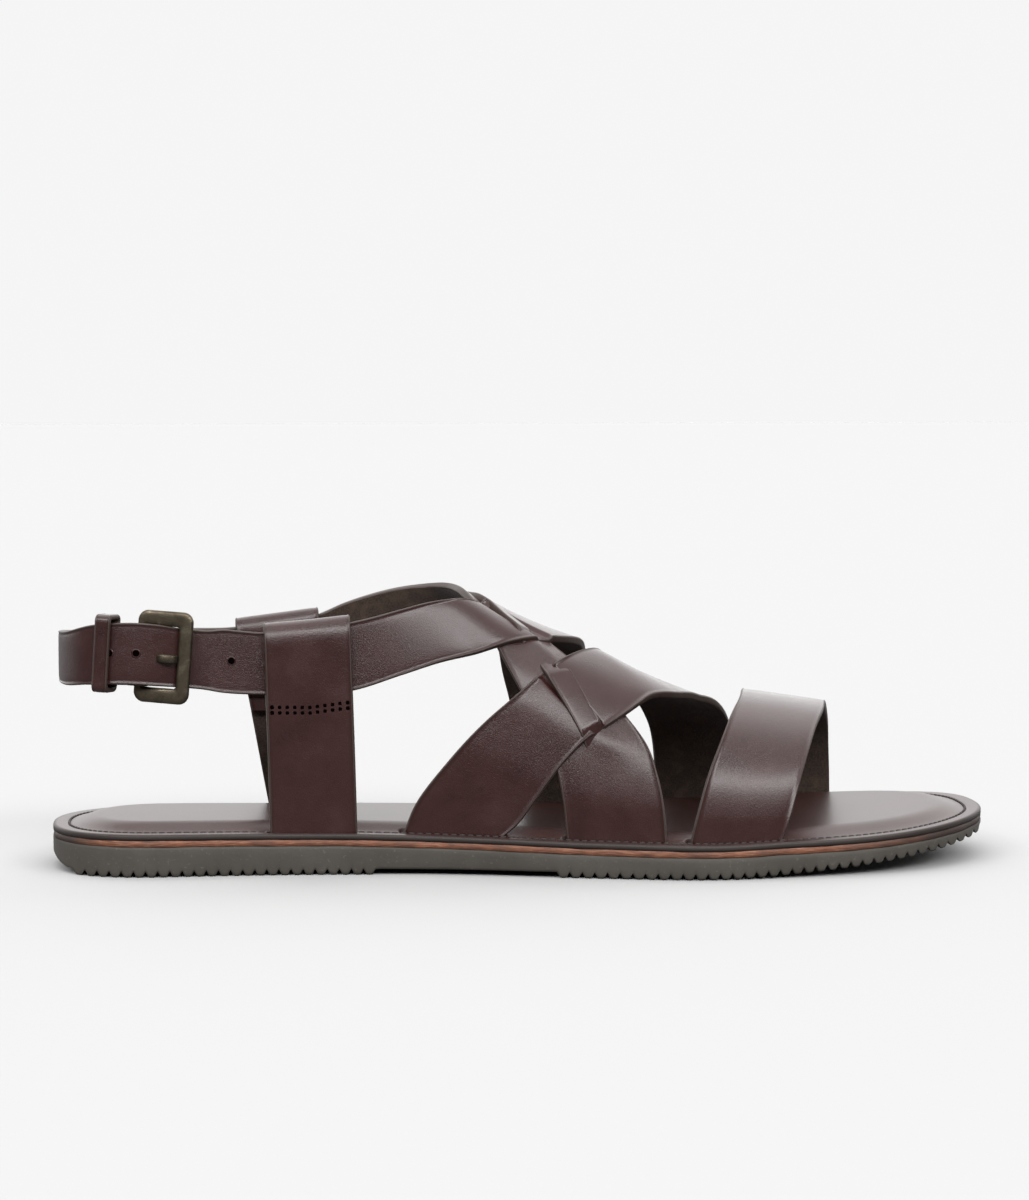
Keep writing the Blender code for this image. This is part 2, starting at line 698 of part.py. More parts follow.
def rod(name, ends, radius, sides):
    """A round cutter between two points."""
    axis = (ends[1] - ends[0]) / np.linalg.norm(ends[1] - ends[0])
    side = np.cross(axis, [1.0, 0.0, 0.0])
    side /= np.linalg.norm(side)
    turns = np.arange(sides) * 2 * math.pi / sides
    ring = np.array([side * math.cos(a) + np.cross(axis, side) * math.sin(a) for a in turns])
    return loft(name, [end + radius * ring for end in ends], "straps", helper=True)


def build_buckle(upper):
    """Frame round the ankle strap, on a pivot bar in the fold, and a prong through a strap hole."""
    row, along, up, out = ankle_end()
    centre, _, outward_here, width, raised = ankle_place(FRONT_BAR_ALONG)
    depth = FOLD_THICKNESS + 2 * CLEARANCE + PIVOT_RADIUS
    pivot = row[2] + along * FOLD_LEAD - out * depth
    lift = raised + 3 * CLEARANCE + FRAME_THICKNESS / 2
    ahead = centre + outward_here * lift - pivot
    shift = np.dot(ahead, up) / 2
    ahead -= up * np.dot(ahead, up)
    reach = np.linalg.norm(ahead)
    ahead /= reach
    face = np.cross(ahead, up)
    face *= np.sign(np.dot(face, out))
    inner_half = width / 2 + 2.2 * CLEARANCE + abs(shift)
    back, front = -PIVOT_RADIUS, reach + FRAME_BAR / 2
    outer_line = rounded_box(back, front, inner_half + FRAME_RAIL, FRAME_CORNER)
    inner_line = rounded_box(PIVOT_RADIUS, reach - FRAME_BAR / 2, inner_half, FRAME_CORNER / 4)
    profile = (
        (0.0, 0.5), (0.0, -0.5), (0.22, -1.0), (0.78, -1.0),
        (1.0, -0.5), (1.0, 0.5), (0.78, 1.0), (0.22, 1.0),
    )
    sections = []
    for outer, inner in zip(np.array(outer_line), np.array(inner_line)):
        loop = []
        for share, side in profile:
            a, b = outer + (inner - outer) * share
            loop.append(pivot + ahead * a + up * (b + shift) + face * side * FRAME_THICKNESS / 2)
        sections.append(loop)
    loft("buckle_frame", sections, "buckle", closed=True)

    axes = (ahead, up, face)
    hook = PIVOT_RADIUS + 1.5 * CLEARANCE + PRONG_THICKNESS / 2
    turns = np.radians(np.linspace(HOOK_START, HOOK_END, 11))
    places = [(hook * math.cos(a), hook * math.sin(a)) for a in turns] + list(PRONG_LINE)
    places.append((reach - FRAME_BAR / 2 - CLEARANCE, FRAME_THICKNESS / 2))
    bar("buckle_prong", pivot, axes, places, 0.0)
    before = math.radians(HOOK_START - 15)
    places.insert(0, (hook * math.cos(before), hook * math.sin(before)))
    join(upper, bar("prong_cutter", pivot, axes, places, CLEARANCE), "DIFFERENCE")


def bar(name, origin, axes, places, room):
    """The prong's flat bar, or with room round it its cutter, along places ahead and out."""
    ahead, up, face = axes
    places = np.array(places)
    line = np.gradient(places, axis=0)
    line /= np.linalg.norm(line, axis=1, keepdims=True)
    high = PRONG_WIDTH / 2 + room
    thick = PRONG_THICKNESS / 2 + room
    corners = ((1, 0.5), (0.75, 1), (-0.75, 1), (-1, 0.5), (-1, -0.5), (-0.75, -1), (0.75, -1), (1, -0.5))
    sections = []
    for (a, n), (da, dn) in zip(places, line):
        loop = []
        for b, c in corners:
            point = origin + ahead * (a - dn * c * thick) + face * (n + da * c * thick)
            loop.append(point + up * b * high)
        sections.append(loop)
    return loft(name, sections, "buckle", helper=room > 0)


def rounded_box(back, front, half, corner):
    """Points round a rounded rectangle, the same number for any size."""
    points = []
    for x, y, start in ((front, half, 0), (back, half, 90), (back, -half, 180), (front, -half, 270)):
        cx = x - corner * (1 if x == front else -1)
        cy = y - corner * (1 if y > 0 else -1)
        for k in range(5):
            a = math.radians(start + 90 * k / 4)
            points.append((cx + corner * math.cos(a), cy + corner * math.sin(a)))
    return points


def build_keeper():
    """Leather loop round both layers of the ankle strap behind the buckle."""
    centre, up, out, width, raised = ankle_place(KEEPER_ALONG)
    forward = np.cross(up, out)
    half = KEEPER_THICKNESS / 2
    outer = raised + 1.3 * CLEARANCE + half
    inner = -STRAP_THICKNESS - 2.5 * CLEARANCE - half
    tall = width / 2 + 3.4 * CLEARANCE + half
    loop = rounded_box(inner, outer, tall, KEEPER_CORNER)
    path = np.array([centre + out * a + up * b for a, b in loop])
    v = np.linspace(-0.5, 0.5, 3)[:, None] * KEEPER_WIDTH * forward
    grid = path[:, None, :] + v[None]
    hub = path.mean(axis=0)
    closed_grid = np.concatenate([grid[-1:], grid, grid[:1]])
    normals = surface_normals(closed_grid)[1:-1]
    flip = np.sign(np.sum(normals * (grid - hub), axis=-1, keepdims=True))
    normals = normals * flip
    count = len(grid)
    return ribbon("keeper", grid, [half] * count, [-half] * count, normals, "straps", closed=True)


def stand_at_origin():
    """Move every piece so that the middle of the sandal's box is over the origin."""
    graph = bpy.context.evaluated_depsgraph_get()
    low, high = [], []
    for piece in bpy.data.objects:
        if not piece.hide_render:
            box = np.array(piece.evaluated_get(graph).bound_box)
            low.append(box.min(axis=0))
            high.append(box.max(axis=0))
    centre = (np.min(low, axis=0) + np.max(high, axis=0)) / 2
    for piece in bpy.data.objects:
        for vertex in piece.data.vertices:
            vertex.co.x -= centre[0]
            vertex.co.y -= centre[1]


def main():
    for piece in list(bpy.data.objects):
        bpy.data.objects.remove(piece)
    build_outsole()
    build_midsole()
    insole = build_insole()
    upper = build_upper(insole)
    build_buckle(upper)
    keep_main_body(upper)
    _, toe_roots = build_strap("toe_strap", TOE_STRAP, 28)
    for grid, normals in toe_roots:
        cut_slot(insole, grid, normals)
    for name in QUARTERS:
        build_quarter(name, insole)
    build_keeper()
    stand_at_origin()


main()
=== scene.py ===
"""Woven strap sandal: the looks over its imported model.

Metres, in the model's frame: +X to the toe, +Y to the inner side, +Z up. Surfaces are grids of points
made from formulas; each section's comment says what the piece is and what its grid follows.
"""

import math

import bpy
import numpy as np
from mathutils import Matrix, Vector


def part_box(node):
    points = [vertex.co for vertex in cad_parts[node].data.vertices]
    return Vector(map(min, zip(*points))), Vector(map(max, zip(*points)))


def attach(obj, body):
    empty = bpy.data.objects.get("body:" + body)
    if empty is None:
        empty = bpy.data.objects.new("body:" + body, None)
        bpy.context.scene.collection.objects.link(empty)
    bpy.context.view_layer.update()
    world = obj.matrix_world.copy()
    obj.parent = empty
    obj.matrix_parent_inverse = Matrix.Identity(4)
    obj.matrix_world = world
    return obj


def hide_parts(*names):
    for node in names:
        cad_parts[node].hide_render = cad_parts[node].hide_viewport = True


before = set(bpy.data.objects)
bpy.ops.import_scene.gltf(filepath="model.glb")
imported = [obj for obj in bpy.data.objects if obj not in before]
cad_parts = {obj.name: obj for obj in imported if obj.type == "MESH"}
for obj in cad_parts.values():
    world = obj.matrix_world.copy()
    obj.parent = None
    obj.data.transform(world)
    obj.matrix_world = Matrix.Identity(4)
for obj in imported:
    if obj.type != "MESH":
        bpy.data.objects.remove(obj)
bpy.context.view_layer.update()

# Outsole. Taupe-grey rubber, moulded in one piece: flat under heel and forefoot, rising to the toe, with
# rounded cross ribs and a plain waist. A slab sliced along the sandal; each slice is a loop of points
# (y, z) between the side walls, and the ground side is cut up between ribs.
LENGTH = 0.2947
BALL_WIDTH = 0.106
INSTEP_HEIGHT = 0.074
HEEL_HEIGHT = 0.0134
TOE_SPRING = 0.009
INSOLE_THICKNESS = 0.0018
MIDSOLE_THICKNESS = 0.0014
RIB_PITCH = 0.0037
RIB_DEPTH = 0.0017
HEEL_ROUND, HEEL_POWER = 0.12, 2.3
TOE_ROUND, TOE_POWER = 0.18, 2.5
SPRING_START, SPRING_POWER = 0.66, 1.8
HEEL_BEVEL, BEVEL_ROUND = 0.0035, 0.02
SOLE_JOINT = 0.0006

# share along, middle and half width as shares of the ball width
OUTLINE = (
    (0.0, -0.02, 0.33), (0.12, 0.005, 0.33), (0.25, 0.005, 0.325), (0.4, -0.01, 0.35),
    (0.55, -0.04, 0.43), (0.68, -0.04, 0.505), (0.78, -0.01, 0.505), (0.9, 0.01, 0.46),
    (1.0, 0.035, 0.41),
)
# share along, height of the footbed's edge as a share of the heel height
EDGE = ((0.0, 1.0), (0.3, 0.95), (0.55, 0.82), (0.75, 0.77), (1.0, 0.48))
RIB_ZONES = ((0.022, 0.335), (0.52, 0.99))


def hermite(at, knots, values, slopes):
    """Cubic curve through values at the knots, with these slopes there."""
    i = np.clip(np.searchsorted(knots, at) - 1, 0, len(knots) - 2)
    step = knots[i + 1] - knots[i]
    t = (at - knots[i]) / step
    shape = (-1,) + (1,) * (values.ndim - 1)
    t, step = t.reshape(shape), step.reshape(shape)
    start = (2 * t**3 - 3 * t**2 + 1) * values[i] + (t**3 - 2 * t**2 + t) * step * slopes[i]
    end = (3 * t**2 - 2 * t**3) * values[i + 1] + (t**3 - t**2) * step * slopes[i + 1]
    return start + end


def smooth(share, table, column):
    """A table's column as a smooth function of its first."""
    xs = np.array([row[0] for row in table], float)
    ys = np.array([row[column] for row in table], float)
    share = np.asarray(share, float)
    return hermite(share.ravel(), xs, ys, np.gradient(ys, xs)).reshape(share.shape)


def end_rounding(share):
    """1 along the sole, falling to 0 at heel and toe as a superellipse does."""
    heel = np.clip(1 - share / HEEL_ROUND, 0, 1) ** HEEL_POWER
    toe = np.clip(1 - (1 - share) / TOE_ROUND, 0, 1) ** TOE_POWER
    return np.clip(1 - heel, 0, 1) ** (1 / HEEL_POWER) * np.clip(1 - toe, 0, 1) ** (1 / TOE_POWER)


def half_width(share):
    return smooth(share, OUTLINE, 2) * BALL_WIDTH * end_rounding(share)


fine = np.linspace(0, 1, 2001)
sole_low, sole_high = (np.array(corner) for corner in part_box("outsole"))
drawn = smooth(fine, OUTLINE, 1) * BALL_WIDTH
SHIFT_X = (sole_low[0] + sole_high[0]) / 2
SHIFT_Y = sole_low[1] - (drawn - half_width(fine)).min()


def along_x(share):
    return (np.asarray(share, float) - 0.5) * LENGTH + SHIFT_X


def share_at(x):
    return np.clip((x - SHIFT_X) / LENGTH + 0.5, 0, 1)


def middle(share):
    return smooth(share, OUTLINE, 1) * BALL_WIDTH + SHIFT_Y


def toe_lift(share):
    rise = np.clip((np.asarray(share, float) - SPRING_START) / (1 - SPRING_START), 0, 1)
    return TOE_SPRING * rise**SPRING_POWER


def footbed(share):
    """Height of the footbed's edge."""
    xs, ys = zip(*EDGE)
    return np.interp(share, xs, ys) * HEEL_HEIGHT + toe_lift(share)


def linked(name, data):
    """An object with this data, put into the scene."""
    made = bpy.data.objects.new(name, data)
    bpy.context.scene.collection.objects.link(made)
    return made


def face_out(mesh):
    """Turns the faces outward when the mesh's signed volume is negative."""
    points = np.empty(len(mesh.vertices) * 3, np.float32)
    mesh.vertices.foreach_get("co", points)
    points = points.reshape(-1, 3)
    mesh.calc_loop_triangles()
    corners = np.empty(len(mesh.loop_triangles) * 3, np.int32)
    mesh.loop_triangles.foreach_get("vertices", corners)
    a, b, c = (points[corners.reshape(-1, 3)[:, k]] for k in range(3))
    if np.einsum("ij,ij->i", a, np.cross(b, c)).sum() < 0:
        mesh.flip_normals()


def grid_piece(name, points, materials, along=False, caps=True, slots=None, place=None, **masks):
    """A mesh from a grid of points: rows along, columns round, joined round and, with along set, at its
    ends too. slots is a material number per column, place a texture place in mm per point, and masks
    are values from 0 to 1 per point."""
    rows, columns = points.shape[:2]
    i, j = np.divmod(np.arange((rows if along else rows - 1) * columns), columns)
    i2, j2 = (i + 1) % rows, (j + 1) % columns
    quads = np.stack([i * columns + j, i * columns + j2, i2 * columns + j2, i2 * columns + j], axis=1)
    loops, starts, totals = quads.ravel(), np.arange(len(quads)) * 4, np.full(len(quads), 4)
    if caps and not along:
        for ring in (np.arange(columns)[::-1], (rows - 1) * columns + np.arange(columns)):
            starts = np.append(starts, len(loops))
            totals = np.append(totals, columns)
            loops = np.append(loops, ring)
    mesh = bpy.data.meshes.new(name)
    mesh.vertices.add(rows * columns)
    mesh.vertices.foreach_set("co", points.reshape(-1).astype(np.float32))
    mesh.loops.add(len(loops))
    mesh.loops.foreach_set("vertex_index", loops.astype(np.int32))
    mesh.polygons.add(len(starts))
    mesh.polygons.foreach_set("loop_start", starts.astype(np.int32))
    mesh.polygons.foreach_set("loop_total", totals.astype(np.int32))
    if slots is not None:
        numbers = np.append(np.asarray(slots)[j], [0] * (len(starts) - len(quads)))
        mesh.polygons.foreach_set("material_index", numbers.astype(np.int32))
    mesh.update(calc_edges=True)
    mesh.validate()
    if place is not None:
        layer = mesh.attributes.new("place", "FLOAT_VECTOR", "POINT")
        layer.data.foreach_set("vector", place.reshape(-1).astype(np.float32))
    for key, values in masks.items():
        layer = mesh.attributes.new(key, "FLOAT", "POINT")
        layer.data.foreach_set("value", values.reshape(-1).astype(np.float32))
    for material in materials:
        mesh.materials.append(material)
    mesh.shade_smooth()
    face_out(mesh)
    return linked(name, mesh)


def feed(tree, target, inputs):
    """Sets a node's inputs to values, or links them to other nodes' outputs."""
    for key, value in dict(inputs).items():
        if isinstance(value, bpy.types.NodeSocket):
            tree.links.new(value, target.inputs[key])
        else:
            target.inputs[key].default_value = value


def node(tree, kind, inputs=(), **settings):
    """A shader node with its settings; inputs are values or other nodes' outputs."""
    made = tree.nodes.new(kind)
    for key, value in settings.items():
        setattr(made, key, value)
    feed(tree, made, inputs)
    return made


def noise(tree, place, scale, detail, **more):
    inputs = {"Vector": place, "Scale": scale, "Detail": detail, **more}
    return node(tree, "ShaderNodeTexNoise", inputs).outputs["Fac"]


def bump(tree, height, strength, distance):
    inputs = {"Height": height, "Strength": strength, "Distance": distance}
    return node(tree, "ShaderNodeBump", inputs).outputs[0]


def ramp(tree, source, stops):
    """An eased colour ramp; a stop is a position with a colour or a grey."""
    made = node(tree, "ShaderNodeValToRGB", {"Fac": source})
    elements = made.color_ramp.elements
    while len(elements) < len(stops):
        elements.new(0.5)
    for element, (position, color) in zip(elements, stops):
        element.position = position
        element.color = (*color, 1.0) if isinstance(color, tuple) else (color, color, color, 1.0)
    made.color_ramp.interpolation = "EASE"
    return made.outputs["Color"]


def new_material(name):
    made = bpy.data.materials.new(name)
    made.use_nodes = True
    tree = made.node_tree
    return made, tree, tree.nodes["Principled BSDF"]


def mixed(tree, share, first, second):
    """First colour mixed with the second by share; each is (r, g, b) or an output."""
    first, second = ((*color, 1.0) if isinstance(color, tuple) else color for color in (first, second))
    return node(tree, "ShaderNodeMix", {0: share, 6: first, 7: second}, data_type="RGBA").outputs[2]


def math_node(tree, operation, *values):
    return node(tree, "ShaderNodeMath", dict(enumerate(values)), operation=operation).outputs[0]


def rubber_material():
    """Matt taupe rubber, unevenly tinted, with specks of dust."""
    made, tree, shader = new_material("outsole_rubber")
    place = node(tree, "ShaderNodeTexCoord").outputs["Object"]
    cloud, dust = noise(tree, place, 60.0, 4.0), noise(tree, place, 900.0, 2.0)
    color = ramp(tree, cloud, ((0.25, (0.053, 0.047, 0.04)), (0.75, (0.075, 0.067, 0.057))))
    color = mixed(tree, ramp(tree, dust, ((0.62, 0.0), (0.75, 0.5))), color, (0.13, 0.118, 0.104))
    rough = ramp(tree, cloud, ((0.2, 0.62), (0.8, 0.72)))
    normal = bump(tree, math_node(tree, "ADD", dust, cloud), 0.18, 0.0003)
    feed(tree, shader, {"Base Color": color, "Roughness": rough, "Normal": normal})
    return made


# one rib: place in its pitch, and how deep it is cut there
rib_phase = np.array([0.0, 0.07, 0.14, 0.2, 0.27, 0.36, 0.5, 0.64, 0.73, 0.8, 0.86, 0.93])
rib_cut = np.array([1.0, 0.8, 0.52, 0.28, 0.1, 0.02, 0.0, 0.02, 0.1, 0.28, 0.52, 0.8])
heel_shares = 0.02 * (np.linspace(0.002, 1, 16) ** 2)
toe_shares = 1 - 0.01 * (np.linspace(0.002, 1, 12) ** 2)
waist_shares = np.linspace(0.336, 0.519, 60)
plain_shares = (heel_shares, waist_shares, toe_shares)
shares, cuts = list(plain_shares), [np.ones_like(plain) for plain in plain_shares]
for zone_start, zone_end in RIB_ZONES:
    ribs = round((zone_end - zone_start) * LENGTH / RIB_PITCH)
    pitch = (zone_end - zone_start) / ribs
    shares.append((zone_start + (np.arange(ribs)[:, None] + rib_phase) * pitch).ravel())
    cuts.append(np.tile(rib_cut, ribs))
shares, cuts = np.concatenate(shares), np.concatenate(cuts)
order = np.argsort(shares)
shares, cuts = shares[order], cuts[order]
bevel = HEEL_BEVEL * np.clip(1 - shares / BEVEL_ROUND, 0, 1) ** 2
low = toe_lift(shares) + cuts * RIB_DEPTH + bevel
high = footbed(shares) - INSOLE_THICKNESS - MIDSOLE_THICKNESS - SOLE_JOINT
# across each slice: share of the half width, share of the height, from the bottom middle round
corner = [(0.0, 0.0), (0.5, 0.0), (0.9, 0.0), (0.975, 0.0), (0.988, 0.015), (0.996, 0.06), (0.999, 0.15)]
corner += [(1.0, 0.4), (1.0, 0.7), (0.999, 0.9), (0.995, 0.975), (0.985, 1.0), (0.9, 1.0), (0.0, 1.0)]
loop = np.array(corner + [(-a, b) for a, b in corner[-2:0:-1]])
points = np.stack(
    [
        np.repeat(along_x(shares)[:, None], len(loop), axis=1),
        middle(shares)[:, None] + half_width(shares)[:, None] * loop[:, 0],
        low[:, None] + (high - low)[:, None] * loop[:, 1],
    ],
    axis=2,
)
outsole = grid_piece("outsole_rubber", points, [rubber_material()])
outsole.data.set_sharp_from_angle(angle=math.radians(50))
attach(outsole, "root")
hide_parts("outsole")

# Midsole. Leather board between sole and footbed, only its raw tan edge shows, darker and hidden by dark
# finish towards the toe. Rings of points round the outline, P(t, w), where t runs round and w is the
# step up its side; its edge stands in and out by fractions of a millimetre.


def unit(vectors):
    return vectors / np.linalg.norm(vectors, axis=-1, keepdims=True)


def run_length(line, power=1):
    """Sum of a line's steps, each to this power, at each of its points."""
    return np.concatenate([[0], np.cumsum(np.linalg.norm(np.diff(line, axis=0), axis=1) ** power)])


def walk_round(line, count):
    """Evenly spaced points round a closed line, their outward directions and the length run."""
    closed = np.concatenate([line, line[:1]])
    length = run_length(closed)
    at = np.linspace(0, length[-1], count, endpoint=False)
    ring = np.stack([np.interp(at, length, closed[:, k]) for k in (0, 1)], axis=1)
    ahead = unit(np.roll(ring, -1, axis=0) - np.roll(ring, 1, axis=0))
    return ring, np.stack([ahead[:, 1], -ahead[:, 0]], axis=1), at


def outline_ring(count):
    """A walk round the sole's outline."""
    share = 0.5 - 0.5 * np.cos(np.linspace(0, math.pi, 4001))
    x = along_x(share)
    sides = [np.stack([x, middle(share) - half_width(share)], axis=1)]
    sides.append(np.stack([x, middle(share) + half_width(share)], axis=1)[::-1][1:-1])
    return walk_round(np.concatenate(sides), count)


def spot_value(tree, name, output="Fac"):
    """A value stored at the mesh's points."""
    return node(tree, "ShaderNodeAttribute", attribute_name=name).outputs[output]


def edge_material(name, base, dark, light, rough):
    """A cut leather edge: fibres in long streaks along it, stained unevenly."""
    made, tree, shader = new_material(name)
    place = spot_value(tree, "place", "Vector")
    long_place = node(tree, "ShaderNodeMapping", {"Vector": place, "Scale": (0.25, 3.0, 3.0)}).outputs[0]
    streak, stain = noise(tree, long_place, 1.0, 6.0), noise(tree, place, 0.09, 4.0)
    color = ramp(tree, streak, ((0.3, dark), (0.5, base), (0.72, light)))
    color = mixed(tree, ramp(tree, stain, ((0.35, 0.65), (0.6, 0.0))), color, dark)
    color = mixed(tree, spot_value(tree, "edge"), color, (0.045, 0.028, 0.022))
    normal = bump(tree, streak, 0.5, 0.0002)
    feed(tree, shader, {"Base Color": color, "Roughness": rough, "Normal": normal})
    return made


def hidden_share(share, at):
    """How far the dark finish has run over the raw edge: from the ball to the toe, in soft patches."""
    wave = 0.1 * np.sin(at * 190) + 0.07 * np.sin(at * 83 + 1.0)
    toe = np.clip((share - 0.78) / 0.14 + wave, 0, 1)
    heel = np.clip((0.05 - share) / 0.03, 0, 1)
    return np.maximum(toe, heel)


# inward from the outline, and share of the board's height
MIDSOLE_STEPS = (
    (0.012, 0.0), (0.0005, 0.0), (0.0001, 0.12), (0.0, 0.5), (0.0001, 0.88), (0.0005, 1.0), (0.012, 1.0),
)
ring, ring_out, ring_at = outline_ring(1100)
ring_share = share_at(ring[:, 0])
top = footbed(ring_share) - INSOLE_THICKNESS + 0.0001
wave = 0.00012 * np.sin(ring_at * 420) + 0.0001 * np.sin(ring_at * 171 + 2.0)
rows = []
for inward, rise in MIDSOLE_STEPS:
    xy = ring - ring_out * (inward + wave[:, None] * (inward < 0.001))
    rows.append(np.column_stack([xy, top - (MIDSOLE_THICKNESS + 0.0008) * (1 - rise)]))
points = np.array(rows)
z = points[..., 2]
place = np.stack([ring_at + 0 * z, z, 0 * z], axis=2) * 1000
hidden = hidden_share(ring_share, ring_at) + 0 * z
RAW_TONES = ((0.23, 0.085, 0.045), (0.095, 0.042, 0.028), (0.38, 0.19, 0.115))
raw_edge = edge_material("midsole_raw_edge", *RAW_TONES, rough=0.62)
midsole = grid_piece("midsole_edge", points, [raw_edge], place=place, edge=hidden)
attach(midsole, "root")
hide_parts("midsole")

# Straps: the shared form. A strap follows a table of its two edges on the last; P(u, v) runs along it
# and across it, is raised off the last by the last column in strap thicknesses, and is thickened to a
# closed skin with rounded edges. Leather: smooth outer face, cut edges, suede inside.
STRAP_THICKNESS = 0.0024
EDGE_RADIUS = 0.0006
# share along, height over the footbed as a share of the instep height, share by which its top is flattened
LAST = (
    (0.0, 2.03, 0.0), (0.22, 1.89, 0.0), (0.3, 1.59, 0.0), (0.36, 1.32, 0.02), (0.42, 1.12, 0.06),
    (0.47, 1.0, 0.09), (0.53, 0.86, 0.06), (0.58, 0.757, 0.02), (0.65, 0.655, 0.0), (0.72, 0.58, 0.0),
    (0.8, 0.52, 0.0), (0.88, 0.46, 0.0), (1.0, 0.38, 0.0),
)
LAST_POWER = 2.3
LAST_INSET = 0.006
FLAT_START = 0.8
LAST_HEEL_INSET, LAST_HEEL_SPAN = 0.0048, 0.12
OVER = 0.8
LAYER = 1.125


def last_point(share, angle):
    """Superelliptic section of the last at a share along; the angle runs over it from the outer side."""
    share, turn = np.asarray(share, float), np.radians(np.asarray(angle, float))
    across, up = (np.sign(k) * np.abs(k) ** (2 / LAST_POWER) for k in (np.cos(turn), np.sin(turn)))
    inset = LAST_INSET * np.clip(end_rounding(share), 0.001, 1)
    y = middle(share) - (half_width(share) - inset) * across
    crown = np.clip((np.sin(turn) - FLAT_START) / (1 - FLAT_START), 0, 1)
    flat = smooth(share, LAST, 2) * crown * crown * (3 - 2 * crown)
    z = footbed(share) + smooth(share, LAST, 1) * INSTEP_HEIGHT * up * (1 - flat)
    x = along_x(share) + LAST_HEEL_INSET * np.clip(1 - share / LAST_HEEL_SPAN, 0, 1) ** 2
    return np.stack([x + 0 * y, y, z], axis=-1)


def strap_lines(table, count):
    """A strap's edges and middle line at evenly spaced stations, its raise, row places and length run."""
    table = np.array(table, float)
    one, other = last_point(table[:, 0], table[:, 1]), last_point(table[:, 2], table[:, 3])
    centre = last_point((table[:, 0] + table[:, 2]) / 2, (table[:, 1] + table[:, 3]) / 2)
    knots = run_length(centre, 0.5)
    dense_at = np.linspace(0, knots[-1], 40 * len(table))
    dense = hermite(dense_at, knots, centre, np.gradient(centre, knots, axis=0))
    length = run_length(dense)
    at = np.interp(np.linspace(0, length[-1], count), length, dense_at)
    lines = [hermite(at, knots, line, np.gradient(line, knots, axis=0)) for line in (one, centre, other)]
    rows = np.interp(at, knots, np.arange(len(table)))
    raised = np.interp(rows, np.arange(len(table)), table[:, 4]) * STRAP_THICKNESS
    wide = max(3, count // 32) * 2 + 1
    kernel = np.hanning(wide + 2)[1:-1]
    padded = np.pad(raised, wide // 2, mode="edge")
    raised = np.convolve(padded, kernel / kernel.sum(), mode="valid")
    return lines, raised, rows, np.linspace(0, length[-1], count)


def skin_profile(width, thick, radius=EDGE_RADIUS, on_top=22, below=8):
    """Places round a strap's section: share across, height over its middle, slot number and edge mask."""
    turns = np.radians([180, 160, 140, 120, 100])
    half, v, h, slot, mask = width / 2, [], [], [], []

    def put(s, height, number, worn):
        v.append(0.5 + s / width)
        h.append(np.full_like(width, height))
        slot.append(number)
        mask.append(np.full_like(width, worn))

    def corner(side, upward, angles):
        for a in angles:
            s, height = half - radius * (1 + math.cos(a)), thick / 2 - radius * (1 - math.sin(a))
            put(side * s, upward * height, 1, 1.0)

    corner(-1, 1, turns)
    for k in np.linspace(0, 1, on_top):
        near = math.exp(-min(k, 1 - k) / 0.06)
        put((half - radius) * (2 * k - 1), thick / 2 - 0.00018 * near, 0, near)
    corner(1, 1, turns[::-1])
    corner(1, -1, turns)
    for k in np.linspace(1, 0, below):
        put((half - radius) * (2 * k - 1), -thick / 2, 2, 0.0)
    corner(-1, -1, turns[::-1])
    return np.array(v).T, np.array(h).T, slot, np.array(mask).T


def leather_group():
    """Grain, pores and creases of smooth leather: outputs a tone, a gloss and a height, from places
    in mm and a 0 to 1 mask of how much a spot has been bent or rubbed."""
    tree = bpy.data.node_groups.new("leather_grain", "ShaderNodeTree")
    for name, kind in (("Place", "NodeSocketVector"), ("Worn", "NodeSocketFloat")):
        tree.interface.new_socket(name, in_out="INPUT", socket_type=kind)
    for name in ("Tone", "Gloss", "Height"):
        tree.interface.new_socket(name, in_out="OUTPUT", socket_type="NodeSocketFloat")
    enter, leave = node(tree, "NodeGroupInput"), node(tree, "NodeGroupOutput")
    place = enter.outputs["Place"]
    cloud = noise(tree, place, 0.07, 5.0, Roughness=0.6)
    pores = node(tree, "ShaderNodeTexVoronoi", {"Vector": place, "Scale": 2.3})
    fine_grain = noise(tree, place, 3.2, 3.0)
    crackle = node(tree, "ShaderNodeTexVoronoi", {"Vector": place, "Scale": 1.7}, feature="DISTANCE_TO_EDGE")
    creases = noise(tree, place, 0.6, 6.0, Distortion=0.9)
    line = ramp(tree, crackle.outputs["Distance"], ((0.0, 0.0), (0.12, 1.0)))
    wrinkled = line
    for factor in (creases, enter.outputs["Worn"], 1.3):
        wrinkled = math_node(tree, "MULTIPLY", wrinkled, factor)
    height = math_node(tree, "MULTIPLY_ADD", pores.outputs["Distance"], 0.35, wrinkled)
    height = math_node(tree, "MULTIPLY_ADD", fine_grain, 0.5, height)
    tone = math_node(tree, "MULTIPLY_ADD", fine_grain, 0.22, cloud)
    gloss = math_node(tree, "MULTIPLY_ADD", creases, 0.4, cloud)
    feed(tree, leave, {"Tone": tone, "Gloss": gloss, "Height": height})
    return tree


grain = leather_group()


